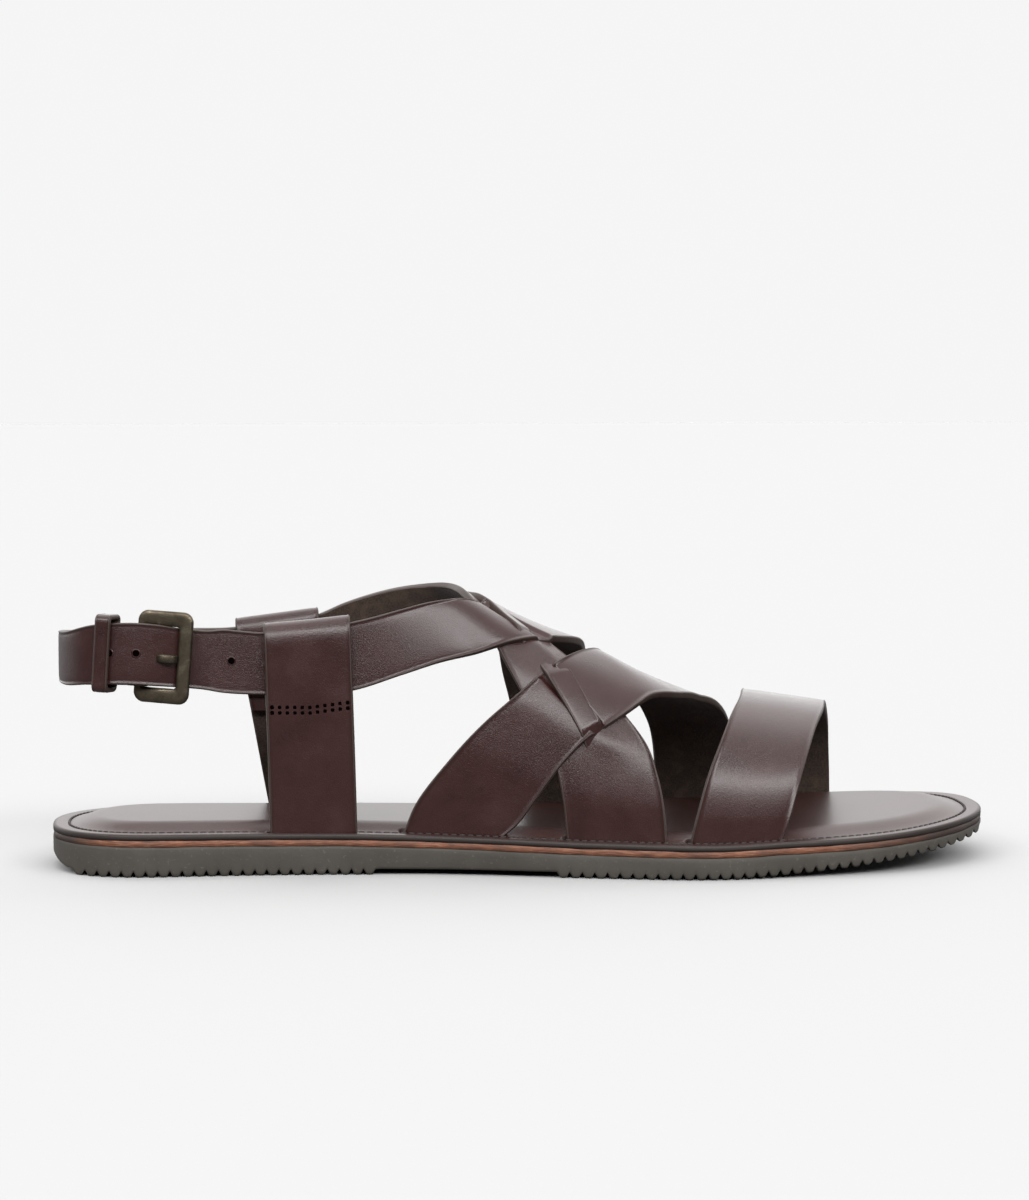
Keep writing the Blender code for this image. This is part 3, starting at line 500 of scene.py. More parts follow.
def leather_material(name, dark, base, light, rough, strength, coat):
    """Smooth finished leather: brown with clouds of tone, lighter where bent, darker along its edges."""
    made, tree, shader = new_material(name)
    place = spot_value(tree, "place", "Vector")
    worn, bent = spot_value(tree, "edge"), spot_value(tree, "bent")
    group = node(tree, "ShaderNodeGroup", node_tree=grain)
    feed(tree, group, {"Place": place, "Worn": bent})
    color = ramp(tree, group.outputs["Tone"], ((0.4, dark), (0.6, base), (0.82, light)))
    color = mixed(tree, math_node(tree, "MULTIPLY", bent, 0.12), color, light)
    color = mixed(tree, math_node(tree, "MULTIPLY", worn, 0.45), color, dark)
    span = {"From Min": 0.4, "From Max": 1.0, "To Min": rough - 0.05, "To Max": rough + 0.09}
    low = node(tree, "ShaderNodeMapRange", {"Value": group.outputs["Gloss"], **span}).outputs[0]
    normal = bump(tree, group.outputs["Height"], strength, 0.00025)
    feed(tree, shader, {"Base Color": color, "Roughness": low, "Normal": normal})
    feed(tree, shader, {"Coat Weight": coat, "Coat Roughness": 0.22, "Specular IOR Level": 0.42})
    return made


def suede_material():
    """The straps' flesh side: napped, mottled brown, with no gloss."""
    made, tree, shader = new_material("strap_suede")
    place = spot_value(tree, "place", "Vector")
    fibre, patch = noise(tree, place, 1.4, 8.0, Roughness=0.7), noise(tree, place, 0.2, 4.0)
    color = ramp(tree, fibre, ((0.35, (0.018, 0.01, 0.007)), (0.65, (0.052, 0.031, 0.02))))
    color = mixed(tree, ramp(tree, patch, ((0.45, 0.0), (0.7, 0.5))), color, (0.08, 0.05, 0.032))
    normal = bump(tree, fibre, 0.5, 0.0003)
    feed(tree, shader, {"Base Color": color, "Roughness": 0.92, "Sheen Weight": 0.15, "Normal": normal})
    return made


BROWNS = ((0.027, 0.0078, 0.0068), (0.034, 0.01, 0.0088), (0.043, 0.0152, 0.0132))
strap_leather = leather_material("strap_leather", *BROWNS, rough=0.3, strength=0.36, coat=0.4)
EDGE_BROWNS = ((0.024, 0.015, 0.013), (0.012, 0.008, 0.007), (0.05, 0.036, 0.031))
cut_edge = edge_material("strap_cut_edge", *EDGE_BROWNS, rough=0.45)
LEATHERS = (strap_leather, cut_edge, suede_material())


# lines on which straps enter the footbed, for its slits
ROOTS = []


def strap_piece(name, table, count, ends=(True, True), dips=(), bends=(), swells=(), tilt=0.0):
    """One strap. dips are (row, half length in rows, depth in thicknesses) where it dives; bends are
    (row, half length in rows, strength) where the leather is bent and its grain opens; swells are
    (row, share across, half lengths of both, height); tilt raises its first edge over its second."""
    lines, raised, rows, at = strap_lines(table, count)
    for row, reach, depth in dips:
        raised = raised - depth * STRAP_THICKNESS * np.exp(-np.abs((rows - row) / reach) ** 8)
    pad = (int(ends[0]), int(ends[1]))
    raised, rows, at = (np.pad(values, pad, mode="edge") for values in (raised, rows, at))
    lines = [np.pad(line, (pad, (0, 0)), mode="edge") for line in lines]
    for line in lines:
        line[: pad[0], 2] -= INSOLE_THICKNESS
        line[len(line) - pad[1] :, 2] -= INSOLE_THICKNESS
    bent = np.zeros(len(rows))
    for row, reach, amount in bends:
        bent = np.maximum(bent, amount * np.exp(-(((rows - row) / reach) ** 2)))

    def lift(v):
        height = tilt * (0.5 - v)
        for row, across, reach, reach_across, amount in swells:
            far = ((rows[:, None] - row) / reach) ** 2 + ((v - across) / reach_across) ** 2
            height = height + amount * np.exp(-far)
        return height * STRAP_THICKNESS

    return skin(name, lines, raised, at, bent, ends, lift=lift)


def across_strap(lines, w):
    """Points at shares w across a strap: a parabola through its edge, middle and other edge."""
    one, centre, other = lines
    return one * (1 - w) * (1 - 2 * w) + centre * 4 * w * (1 - w) + other * w * (2 * w - 1)


def skin(name, lines, raised, at, bent, ends=(False, False), thick=STRAP_THICKNESS, facing=None, lift=None):
    """Thickens a strap's three lines to a closed skin; facing is a row and its outward direction."""
    one, centre, other = lines
    width = np.linalg.norm(other - one, axis=1)
    v, h, slots, mask = skin_profile(width, thick, min(EDGE_RADIUS, thick * 0.45))
    one, centre, other = (line[:, None, :] for line in (one, centre, other))
    w = v[..., None]
    points = across_strap((one, centre, other), w)
    over = one * (4 * w - 3) + centre * (4 - 8 * w) + other * (4 * w - 1)
    normals = np.cross(np.gradient(points, axis=0), over)
    for end, tip, root, above in ((ends[0], 0, 1, 2), (ends[1], -1, -2, -3)):
        if end:
            normals[tip] = normals[root] * np.array([1.0, 1.0, 0.0])
            normals[root] = normals[above]
    normals = unit(normals)
    mid, away = facing or (len(points) // 2, None)
    if away is None:
        hub = np.array([SHIFT_X, SHIFT_Y, HEEL_HEIGHT + 0.3 * INSTEP_HEIGHT])
        away = (points[mid, 15] - hub) * np.array([0.2, 1.0, 1.0])
    if np.dot(normals[mid, 15], away) < 0:
        normals = -normals
    level = h + (raised - thick / 2)[:, None] + (lift(v) if lift else 0.0)
    points = points + normals * level[..., None]
    for end, row in zip(ends, (0, -1)):
        if end:
            ROOTS.append((points[row, :32] + points[row, -1:-33:-1])[4:30:3] / 2)
    place = np.stack([at[:, None] * 1000 + 0 * v, v * width[:, None] * 1000, 0 * v + 40 * len(name)], axis=2)
    bent = bent[:, None] + 0 * v
    piece = grid_piece(name, points, LEATHERS, slots=slots, place=place, edge=mask, bent=bent)
    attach(piece, "root")
    return piece


# Upper. Three long straps woven over the instep and the two narrow bands under which they dive; each row
# is one edge (share along, angle), the other edge, and the raise in strap thicknesses.
SUNK = -0.15
DIAGONAL_STRAP = (
    (0.365, 0, 0.468, 0, 0), (0.378, 4, 0.482, 2, 0), (0.413, 13, 0.502, 8, 0),
    (0.448, 23, 0.526, 17, 0.3), (0.486, 35, 0.55, 26, OVER), (0.52, 50, 0.572, 33, OVER),
    (0.548, 66, 0.597, 42, OVER), (0.572, 80, 0.624, 54, OVER), (0.597, 95, 0.66, 69, -0.7),
    (0.621, 112, 0.696, 90, -1.8), (0.643, 132, 0.729, 115, -1.8), (0.656, 151, 0.749, 145, -1.1),
    (0.663, 168, 0.756, 168, -0.3), (0.664, 180, 0.757, 180, 0),
)
OUTER_LONG_STRAP = (
    (0.532, 0, 0.633, 0, 0), (0.528, 8, 0.63, 10, 0), (0.521, 17, 0.625, 20, 0),
    (0.508, 26, 0.616, 31, 0), (0.489, 35, 0.593, 43, 0), (0.47, 45, 0.564, 55, 0),
    (0.452, 60, 0.53, 68, 0), (0.438, 84, 0.502, 88, 0), (0.424, 106, 0.472, 110, 0),
    (0.405, 122, 0.442, 130, 0), (0.374, 132, 0.405, 143, 0), (0.344, 140, 0.365, 152, 0),
    (0.314, 147, 0.33, 158, 0), (0.28, 153, 0.29, 162.8, 0), (0.24, 156.6, 0.245, 165.4, 0),
    (0.19, 159.4, 0.19, 166.9, 0), (0.13, 160.2, 0.13, 167.2, 0), (0.08, 160.2, 0.08, 166.9, 0),
    (0.04, 160, 0.04, 166.5, 0), (0.012, 160.1, 0.012, 166.2, 0), (0.0, 20.3, 0.0, 14.1, 0),
    (0.012, 20.6, 0.012, 14.3, 0), (0.042, 21.3, 0.038, 14.5, 0), (0.08, 21.6, 0.075, 14.6, 0),
)
INNER_LONG_STRAP = (
    (0.515, 180, 0.615, 180, 0), (0.512, 172, 0.613, 170, 0), (0.504, 163, 0.608, 160, 0),
    (0.498, 154, 0.6, 148, 0), (0.488, 143, 0.59, 134, 0), (0.478, 126, 0.576, 114, 0.3),
    (0.465, 104, 0.564, 95, OVER), (0.456, 84, 0.535, 78, OVER), (0.444, 68, 0.508, 63, OVER),
    (0.424, 59, 0.478, 51, OVER), (0.397, 51, 0.443, 42, 0.3), (0.365, 42.5, 0.405, 34.5, 0),
    (0.335, 35.5, 0.365, 27, 0), (0.3, 29.5, 0.315, 19.5, 0), (0.262, 25.5, 0.265, 16, 0),
    (0.22, 22.7, 0.22, 14.5, 0), (0.18, 21.9, 0.18, 14, 0), (0.163, 21.5, 0.158, 14.2, 0),
    (0.145, 21.5, 0.14, 14.3, 0), (0.131, 21.6, 0.126, 14.4, 0.6), (0.115, 21.9, 0.11, 14.5, LAYER),
    (0.083, 22.2, 0.078, 14.7, LAYER), (0.042, 21.9, 0.038, 14.6, LAYER),
    (0.012, 20.8, 0.012, 14.2, LAYER), (0.0, 20.3, 0.0, 14.1, LAYER),
    (0.012, 160.1, 0.012, 166.2, LAYER), (0.04, 160.8, 0.04, 165.6, LAYER),
)
DIAGONAL_BAND = (
    (0.5535, 24, 0.5765, 31.2, SUNK), (0.5505, 26, 0.5725, 33.2, 0.3), (0.547, 28.5, 0.568, 35.5, 0.95),
    (0.529, 37.5, 0.553, 44, 1.0), (0.515, 44, 0.54, 51.5, 0.95), (0.5105, 46.5, 0.534, 55, 0.35),
    (0.507, 49, 0.529, 58, SUNK),
)
INSTEP_BAND = (
    (0.493, 55, 0.509, 62.5, SUNK), (0.489, 57.5, 0.505, 65, 0.35), (0.483, 61.5, 0.5, 68.5, 0.95),
    (0.47, 69, 0.487, 76.5, 1.0), (0.457, 79, 0.475, 86.5, 0.95), (0.449, 87, 0.468, 94.5, 0.5),
    (0.44, 98, 0.459, 106, SUNK),
)
upper = strap_piece(
    "upper_outer_long", OUTER_LONG_STRAP, 760, (True, False), bends=((2.6, 1.1, 1.0), (5.6, 0.9, 0.7)),
    swells=((2.95, 0.58, 0.5, 0.18, 0.25), (5.1, 0.6, 0.5, 0.16, 0.35), (5.75, 0.6, 0.4, 0.16, 0.3)),
)
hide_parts("upper")
strap_piece(
    "upper_diagonal", DIAGONAL_STRAP, 380, dips=((4.79, 0.23, 0.6),),
    bends=((3.7, 1.1, 1.0), (8.0, 0.8, 0.25)),
)
strap_piece(
    "upper_inner_long", INNER_LONG_STRAP, 860, (True, False), dips=((7.68, 0.3, 0.6),),
    bends=((12.8, 1.2, 0.9), (15.6, 1.6, 1.0), (21.0, 1.4, 0.3)),
)
strap_piece("upper_diagonal_band", DIAGONAL_BAND, 110, (False, False), tilt=0.35)
strap_piece("upper_instep_band", INSTEP_BAND, 130, (False, False), tilt=0.35)

# Toe strap. One wide strap over the toes, both ends through the footbed.
TOE_STRAP = (
    (0.657, 0, 0.755, 0, 0), (0.664, 8, 0.764, 8, 0), (0.676, 22, 0.776, 23, 0), (0.692, 38, 0.789, 39, 0),
    (0.709, 56, 0.804, 57, 0), (0.726, 74, 0.82, 75, 0), (0.74, 93, 0.834, 94, 0),
    (0.752, 112, 0.846, 113, 0), (0.762, 132, 0.856, 133, 0), (0.769, 152, 0.862, 153, 0),
    (0.772, 168, 0.865, 168, 0), (0.773, 180, 0.866, 180, 0),
)
toe_strap = strap_piece("toe_strap_leather", TOE_STRAP, 380, bends=((3.0, 1.0, 0.5),))
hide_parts("toe_strap")

# Quarter straps. Each stands outside the ankle strap, folds over it and comes down again inside, where
# two rows of stitches close the loop. P(t, v): t runs up, over and down, v from the back edge to the front.
CLEARANCE = 0.0003
QUARTER_TAIL = 0.0085
ARCH_START, ARCH_HEIGHT = 0.0046, 0.0062
STITCH_DROPS = (0.0035, 0.0052)
STITCHES_ACROSS = 11


def along_strap(table, low, high, inner_side):
    """Edges of an ankle strap between two shares, on the inner or outer side: x, top and bottom heights."""
    rows = [row for row in table if low < row[0] < high and (row[1] > 90) == inner_side]
    (one, centre, other), _, _, _ = strap_lines(rows, 60)
    order = np.argsort(centre[:, 0])
    return centre[order, 0], one[order, 2], other[order, 2]


def quarter_line(side, base, crest, top_z, low_z, lean):
    """A quarter's line from the sole over the ankle strap and down behind it: heights and distances from
    the last's wall, at shares along from base to crest; lean bows it."""
    half = STRAP_THICKNESS / 2
    outside, inside = 2 * CLEARANCE + half, -STRAP_THICKNESS - 3 * CLEARANCE - half
    ground = float(footbed(base))
    steps = [(ground - INSOLE_THICKNESS, outside), (ground, outside)]
    spring = top_z - ARCH_START
    steps += [(ground + (spring - ground) * t, outside) for t in np.linspace(0.03, 1, 24)]
    reach = (outside - inside) / 2
    for a in np.radians(np.linspace(10, 170, 16)):
        bulge = math.copysign(abs(math.cos(a)) ** 0.8, math.cos(a))
        steps.append((spring + ARCH_HEIGHT * math.sin(a) ** 0.8, outside - reach * (1 - bulge)))
    downs = (spring - 0.0002, 0.5 * top_z + 0.5 * low_z, 0.25 * top_z + 0.75 * low_z, low_z - 0.0012)
    steps += [(z, inside) for z in downs]
    beside = outside - STRAP_THICKNESS - CLEARANCE
    steps += [(low_z - QUARTER_TAIL * k, beside) for k in (0.45, 0.7, 1.0)]
    z, offset = np.array(steps).T
    risen = np.clip((z - ground) / (top_z - ground), 0, 1)
    share = base + (crest - base) * risen
    up = np.clip((z - footbed(share)) / (smooth(share, LAST, 1) * INSTEP_HEIGHT), 0, 0.99)
    wall = (half_width(share) - LAST_INSET * end_rounding(share)) * (1 - up**LAST_POWER) ** (1 / LAST_POWER)
    bow = lean * 0.0007 * np.sin(risen * math.pi)
    return np.stack([along_x(share), middle(share) + side * (wall + offset + bow), z], axis=1)


def through(line, count):
    """Evenly spaced points on a smooth curve through a few points."""
    knots = run_length(line, 0.5)
    at = np.linspace(0, knots[-1], count)
    return hermite(at, knots, line, np.gradient(line, knots, axis=0))


# Near black with no gloss: painted shade standing in for the depth of the punched holes; the quarter
# stitches are drawn in it too, as black thread.
hole_shade_and_stitch_black, tree, shader = new_material("hole_shade_and_stitch_black")
feed(tree, shader, {"Base Color": (0.002, 0.001, 0.001, 1.0), "Roughness": 1.0, "Specular IOR Level": 0.0})


def capsules(name, starts, ends, radius, material):
    """Many short rounded rods in one mesh, eight-sided, from starts to ends."""
    starts, ends = np.array(starts), np.array(ends)
    axis = ends - starts
    length = np.linalg.norm(axis, axis=1, keepdims=True)
    axis = axis / length
    side = unit(np.cross(axis, [0.31, 0.17, 0.93]))
    other = np.cross(axis, side)
    turns = np.arange(8) * math.pi / 4
    around = side[:, None] * np.cos(turns)[:, None] + other[:, None] * np.sin(turns)[:, None]
    rings = []
    for t, r in ((0.0, 0.25), (0.06, 0.75), (0.2, 1.0), (0.8, 1.0), (0.94, 0.75), (1.0, 0.25)):
        rings.append((starts + axis * length * t)[:, None] + around * radius * r)
    points = np.stack(rings, axis=1)
    count, high = len(starts), len(rings)
    base = (np.arange(count) * high * 8)[:, None, None]
    j, k = np.meshgrid(np.arange(high - 1), np.arange(8), indexing="ij")
    j2, k2 = j + 1, (k + 1) % 8
    quads = np.stack([j * 8 + k, j * 8 + k2, j2 * 8 + k2, j2 * 8 + k], axis=-1).reshape(1, -1, 4) + base
    caps = (np.stack([7 - np.arange(8), (high - 1) * 8 + np.arange(8)]) + base).reshape(-1, 8)
    faces = quads.reshape(-1, 4).tolist() + caps.tolist()
    mesh = bpy.data.meshes.new(name)
    mesh.from_pydata(points.reshape(-1, 3).tolist(), [], faces)
    mesh.shade_smooth()
    mesh.materials.append(material)
    piece = linked(name, mesh)
    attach(piece, "root")


# side, shares along at the foot's back and front and at the crest's, and the ankle strap it holds
QUARTERS = {
    "quarter_strap_lateral": (-1, 0.2265, 0.317, 0.221, 0.311, INNER_LONG_STRAP),
    "quarter_strap_medial": (1, 0.232, 0.322, 0.196, 0.286, OUTER_LONG_STRAP),
}
for name, (side, foot_back, foot_front, crest_back, crest_front, table) in QUARTERS.items():
    edge_x, edge_high, edge_low = along_strap(table, 0.17, 0.35, side > 0)
    lines, seam = [], []
    for v in (0.0, 0.5, 1.0):
        base, crest = foot_back + (foot_front - foot_back) * v, crest_back + (crest_front - crest_back) * v
        x = along_x(crest)
        top_z, low_z = np.interp(x, edge_x, edge_high), np.interp(x, edge_x, edge_low)
        lines.append(through(quarter_line(side, base, crest, top_z, low_z, abs(v - 0.5) * 2 - 1), 320))
        seam.append(low_z)
    at, peak = run_length(lines[1]), int(np.argmax(lines[1][:, 2]))
    bend = np.exp(-(((at - at[peak]) / 0.006) ** 2)) * 0.8
    toward = np.array([0.0, float(side), 0.0])
    piece = skin(
        name + "_leather", lines, 0 * at + STRAP_THICKNESS / 2, at, bend, (True, False), facing=(60, toward)
    )
    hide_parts(name)
    starts, ends = [], []
    rising = slice(8, peak - 20)
    for down in STITCH_DROPS:
        for v in 0.065 + 0.087 * np.arange(STITCHES_ACROSS):
            z = np.interp(v, (0, 0.5, 1), seam) - down
            line = across_strap(lines, v)[rising]
            spot = np.array([np.interp(z, line[:, 2], line[:, i]) for i in range(3)])
            spot = spot + toward * (STRAP_THICKNESS / 2 - 0.00052)
            step = np.array([0.00062, 0.0, 0.00006])
            starts.append(spot - step)
            ends.append(spot + step)
    capsules(name + "_stitches", starts, ends, 0.00078, hole_shade_and_stitch_black)

# Fold of the outer long strap: its end, thinned, goes round the buckle's pivot bar and lies back against
# the inside of the strap. P(t) in the plane across the bar, the same at both edges.
FOLD_THICKNESS = 0.0016
FOLD_LEAD = 0.0032
FOLD_RETURN = 0.0038
PIVOT_RADIUS = 0.0011
(edge_one, edge_centre, edge_other), _, _, _ = strap_lines(OUTER_LONG_STRAP, 220)
row = np.array([edge_one[-1], edge_centre[-1], edge_other[-1]])
up = unit(row[0] - row[2])
ahead = edge_centre[-1] - edge_centre[-4]
ahead = unit(ahead - up * np.dot(ahead, up))
out = np.cross(ahead, up)
out *= -np.sign(out[1])
fold_turn = PIVOT_RADIUS + 2 * CLEARANCE + FOLD_THICKNESS / 2
places = [(-FOLD_LEAD, -0.0001), (-0.3 * FOLD_LEAD, 0.0)]
for a in np.linspace(0, math.pi, 14):
    places.append((FOLD_LEAD + fold_turn * math.sin(a), fold_turn * math.cos(a) - fold_turn))
laid = -STRAP_THICKNESS - CLEARANCE
places += [(0.2 * FOLD_LEAD, -1.9 * fold_turn), (-0.55 * FOLD_RETURN, laid), (-FOLD_RETURN, laid)]
level = row[1] + up * np.dot(row - row[1], up)[:, None]
fold_lines = [
    through(np.array([corner + ahead * a + out * (n - FOLD_THICKNESS / 2) for a, n in places]), 160)
    for corner in level
]
at = run_length(fold_lines[1])
fold_raise, fold_bend = np.full_like(at, FOLD_THICKNESS / 2), np.full_like(at, 0.5)
skin("upper_fold", fold_lines, fold_raise, at, fold_bend, thick=FOLD_THICKNESS, facing=(4, out))


def ankle_place(share):
    """A place on the strap at the outer ankle: point, direction over its width, outward, width, raise."""
    rows = [row for row in INNER_LONG_STRAP if row[1] < 90 and row[0] < 0.23]
    (one, centre, other), raised, _, _ = strap_lines(rows, 80)
    i = int(np.argmin(np.abs(centre[:, 0] - along_x(share))))
    across = one[i] - other[i]
    width = np.linalg.norm(across)
    normal = unit(np.cross(np.gradient(centre, axis=0)[i], across))
    return centre[i], across / width, normal * -np.sign(normal[1]), width, raised[i]


# Holes punched through the inner long strap at the ankle, their depth drawn as painted shade: a near-black
# middle. P(r, t): r runs out from that painted-shade middle over a pressed rim of leather, t round it.
HOLES_ALONG = (0.064, 0.089, 0.186)
HOLE_SIDES = 32
# out from the middle, height over the leather; the first two rings are painted shade, near black
HOLE_PROFILE = (
    (0.00005, -0.00002), (0.0007, 0.00003), (0.00105, 0.00005), (0.0012, 0.00008), (0.0013, 0.00006),
    (0.0015, -0.0001),
)
turn = np.linspace(0, 2 * math.pi, HOLE_SIDES, endpoint=False)
for index, share in enumerate(HOLES_ALONG):
    centre, across, normal, _, raised = ankle_place(share)
    forward = np.cross(across, normal)
    direction = forward * np.cos(turn)[:, None] + across * np.sin(turn)[:, None]
    face = centre + normal * (raised + 0.00006)
    points = np.stack([face + direction * r + normal * h for r, h in HOLE_PROFILE])
    hole = grid_piece(f"strap_hole_{index}", points, [hole_shade_and_stitch_black, strap_leather])
    # the first two rings take the painted-shade material, the rest the strap leather
    numbers = np.append(np.repeat([0, 0, 1, 1, 1], HOLE_SIDES), [0, 0]).astype(np.int32)
    hole.data.polygons.foreach_set("material_index", numbers)
    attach(hole, "root")


# Buckle frame. Cast brass with an antique finish and rounded edges, turning on its pivot bar. P(t, s): t
# runs round the frame, s round its section between an outer and an inner rounded rectangle.
FRONT_BAR_ALONG = 0.1395
FRAME_RAIL = 0.0041
FRAME_BAR = 0.0042
FRAME_THICKNESS = 0.0022
RAIL_INWARD = 0.0006
METAL_TONES = ((0.3, (0.055, 0.044, 0.03)), (0.55, (0.115, 0.094, 0.066)), (0.75, (0.24, 0.205, 0.15)))


def metal_material():
    """Antique metal: warm grey-brown patches, brushed along x."""
    made, tree, shader = new_material("antique_metal")
    place = node(tree, "ShaderNodeTexCoord").outputs["Object"]
    brushing = {"Vector": place, "Scale": (700.0, 700.0, 5000.0)}
    brush = noise(tree, node(tree, "ShaderNodeMapping", brushing).outputs[0], 1.0, 4.0)
    patch = noise(tree, place, 260.0, 5.0)
    color = ramp(tree, patch, METAL_TONES)
    color = mixed(tree, ramp(tree, brush, ((0.35, 0.35), (0.65, 0.0))), color, (0.07, 0.06, 0.045))
    rough = ramp(tree, patch, ((0.3, 0.46), (0.7, 0.34)))
    normal = bump(tree, brush, 0.25, 0.0001)
    feed(tree, shader, {"Base Color": color, "Metallic": 0.9, "Roughness": rough, "Normal": normal})
    return made


def rounded_box(back, front, half, corner, steps=14):
    """Points round a rounded rectangle, from back to front and half to each side."""
    points = []
    for x, y, start in ((front, half, 0), (back, half, 90), (back, -half, 180), (front, -half, 270)):
        cx, cy = x - corner * (1 if x == front else -1), y - corner * (1 if y > 0 else -1)
        for a in np.radians(start + 90 * np.linspace(0, 1, steps)):
            points.append((cx + corner * math.cos(a), cy + corner * math.sin(a)))
    return np.array(points)


metal = metal_material()
centre, _, normal, width, raised = ankle_place(FRONT_BAR_ALONG)
pivot = row[1] + ahead * FOLD_LEAD - out * (FOLD_THICKNESS + 2 * CLEARANCE + PIVOT_RADIUS)
reach_line = centre + normal * (raised + 3 * CLEARANCE + FRAME_THICKNESS / 2) - pivot
shift = np.dot(reach_line, up) / 2
reach_line = reach_line - up * np.dot(reach_line, up)
reach = np.linalg.norm(reach_line)
reach_line /= reach
face = np.cross(reach_line, up)
face *= np.sign(np.dot(face, out))
inner_half = width / 2 + 2.2 * CLEARANCE + abs(shift)
outer_line = rounded_box(-PIVOT_RADIUS, reach + FRAME_BAR / 2, inner_half + FRAME_RAIL, 0.0032)
inner_line = rounded_box(PIVOT_RADIUS, reach - FRAME_BAR / 2, inner_half - RAIL_INWARD, 0.0008)


def squared(angles, power):
    """Cosine and sine of the angles, pushed out towards a square."""
    return (np.sign(k) * np.abs(k) ** power for k in (np.cos(angles), np.sin(angles)))


inward, high = squared(np.radians(np.arange(0, 360, 15) + 7.5), 0.55)
flat = outer_line[:, None] + (inner_line - outer_line)[:, None] * (0.5 - 0.5 * inward)[:, None]
points = pivot + reach_line * flat[..., :1] + up * (flat[..., 1:] + shift)
points = points + face * (high * FRAME_THICKNESS / 2)[:, None]
buckle = grid_piece("buckle_frame_metal", points, [metal], along=True)
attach(buckle, "root")
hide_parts("buckle_frame")

# Prong. Flat bar hooked round the pivot bar, through the strap, its tip on the front bar. P(t, s): t runs
# along it, s round its squared section.
PRONG_HALF_WIDTH, PRONG_HALF_THICKNESS = 0.0013, 0.0008
hook = PIVOT_RADIUS + 1.5 * CLEARANCE + PRONG_HALF_THICKNESS
places = [(hook * math.cos(a), hook * math.sin(a)) for a in np.radians(np.linspace(150, 350, 11))]
places += [(0.0045, 0.0009), (0.0066, 0.0024), (0.008, 0.0031), (0.0096, 0.0031), (0.0112, 0.0024)]
places.append((reach - FRAME_BAR / 2 - CLEARANCE, FRAME_THICKNESS / 2))
path = through(np.array([(a, n, 0.0) for a, n in places]), 90)
step = unit(np.gradient(path, axis=0))
high, thick = squared(np.radians(np.arange(0, 360, 22.5)), 0.5)
thick = PRONG_HALF_THICKNESS * thick
ahead_of, over = path[:, :1] - step[:, 1:2] * thick, path[:, 1:2] + step[:, :1] * thick
points = pivot + reach_line * ahead_of[..., None] + face * over[..., None]
points = points + up * (PRONG_HALF_WIDTH * high)[:, None]
prong = grid_piece("buckle_prong_metal", points, [metal])
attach(prong, "root")
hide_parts("buckle_prong")

# Keeper. A closed leather loop round both layers of the ankle strap; P(t, v): t round it, v across.
KEEPER_ALONG = 0.057
KEEPER_WIDTH, KEEPER_THICKNESS = 0.005, 0.0016
centre, across, normal, width, raised = ankle_place(KEEPER_ALONG)
forward = np.cross(across, normal)
half = KEEPER_THICKNESS / 2
inside, outside = -STRAP_THICKNESS - 2.5 * CLEARANCE - half, raised + 1.3 * CLEARANCE + half
line = rounded_box(inside, outside, width / 2 + 3.4 * CLEARANCE + half, 0.0012, 8)
line, side_way, at = walk_round(line, 180)
widths = np.full(len(at), KEEPER_WIDTH)
v, h, slots, mask = skin_profile(widths, KEEPER_THICKNESS, on_top=10, below=4)
flat = line[:, None] + side_way[:, None] * h[..., None]
points = centre + flat[..., :1] * normal + flat[..., 1:] * across
points = points + (v[..., None] - 0.5) * KEEPER_WIDTH * forward
place = np.stack([at[:, None] + 0 * v, v * KEEPER_WIDTH, 0 * v + 0.3], axis=2) * 1000
bent = 0 * v + 0.2
keeper = grid_piece("keeper_loop", points, LEATHERS, True, slots=slots, place=place, edge=mask, bent=bent)
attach(keeper, "root")
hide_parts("keeper")

# Footbed. Leather pad, crowned inside a stitched groove, with slits where the straps go through, their shade
# painted in nearly black. Rings P(t, d): t runs round the outline and d inward from it, first true distance,
# then on to a middle line.
SEAM_INSET = 0.005
CROWN_HEIGHT, CROWN_START, CROWN_RUN = 0.0024, 0.0056, 0.0095
SLIT_REACH, SLIT_DEPTH = 0.0021, 0.0009
STITCH_LENGTH = 0.74
ring, ring_out, _ = outline_ring(1400)
# the rim's rounding, inward and down, then even steps inward
rim_depths = [0, 0, 0, 0.0002, 0.0005, 0.0009]
rim_drops = [INSOLE_THICKNESS, 0.0011, 0.0006, 0.00022, 0.00006, 0]
depths = np.concatenate([rim_depths, np.arange(0.0013, 0.0125, 0.00038)])
spine_x = np.clip(ring[:, 0], along_x(0.14), along_x(0.84))
spine = np.stack([spine_x, middle(share_at(spine_x))], axis=1)
last_ring = ring - ring_out * depths[-1]
rings = [ring - ring_out * d for d in depths]
distance = [np.full(len(ring), d) for d in depths]
across_room = np.linalg.norm(spine - last_ring, axis=1)
for t in np.linspace(0, 1, 26)[1:]:
    rings.append(last_ring + (spine - last_ring) * t)
    distance.append(depths[-1] + across_room * t)
rings, distance = np.array(rings), np.array(distance)
rise = np.clip((distance - CROWN_START) / CROWN_RUN, 0, 1)
crown = CROWN_HEIGHT * (rise * rise * (3 - 2 * rise)) ** 0.8
groove = 0.00035 * np.exp(-(((distance - SEAM_INSET) / 0.0006) ** 2))
height = footbed(share_at(rings[..., 0])) + crown - groove
height[: len(rim_drops)] -= np.array(rim_drops)[:, None]
points = np.concatenate([rings, height[..., None]], axis=2)
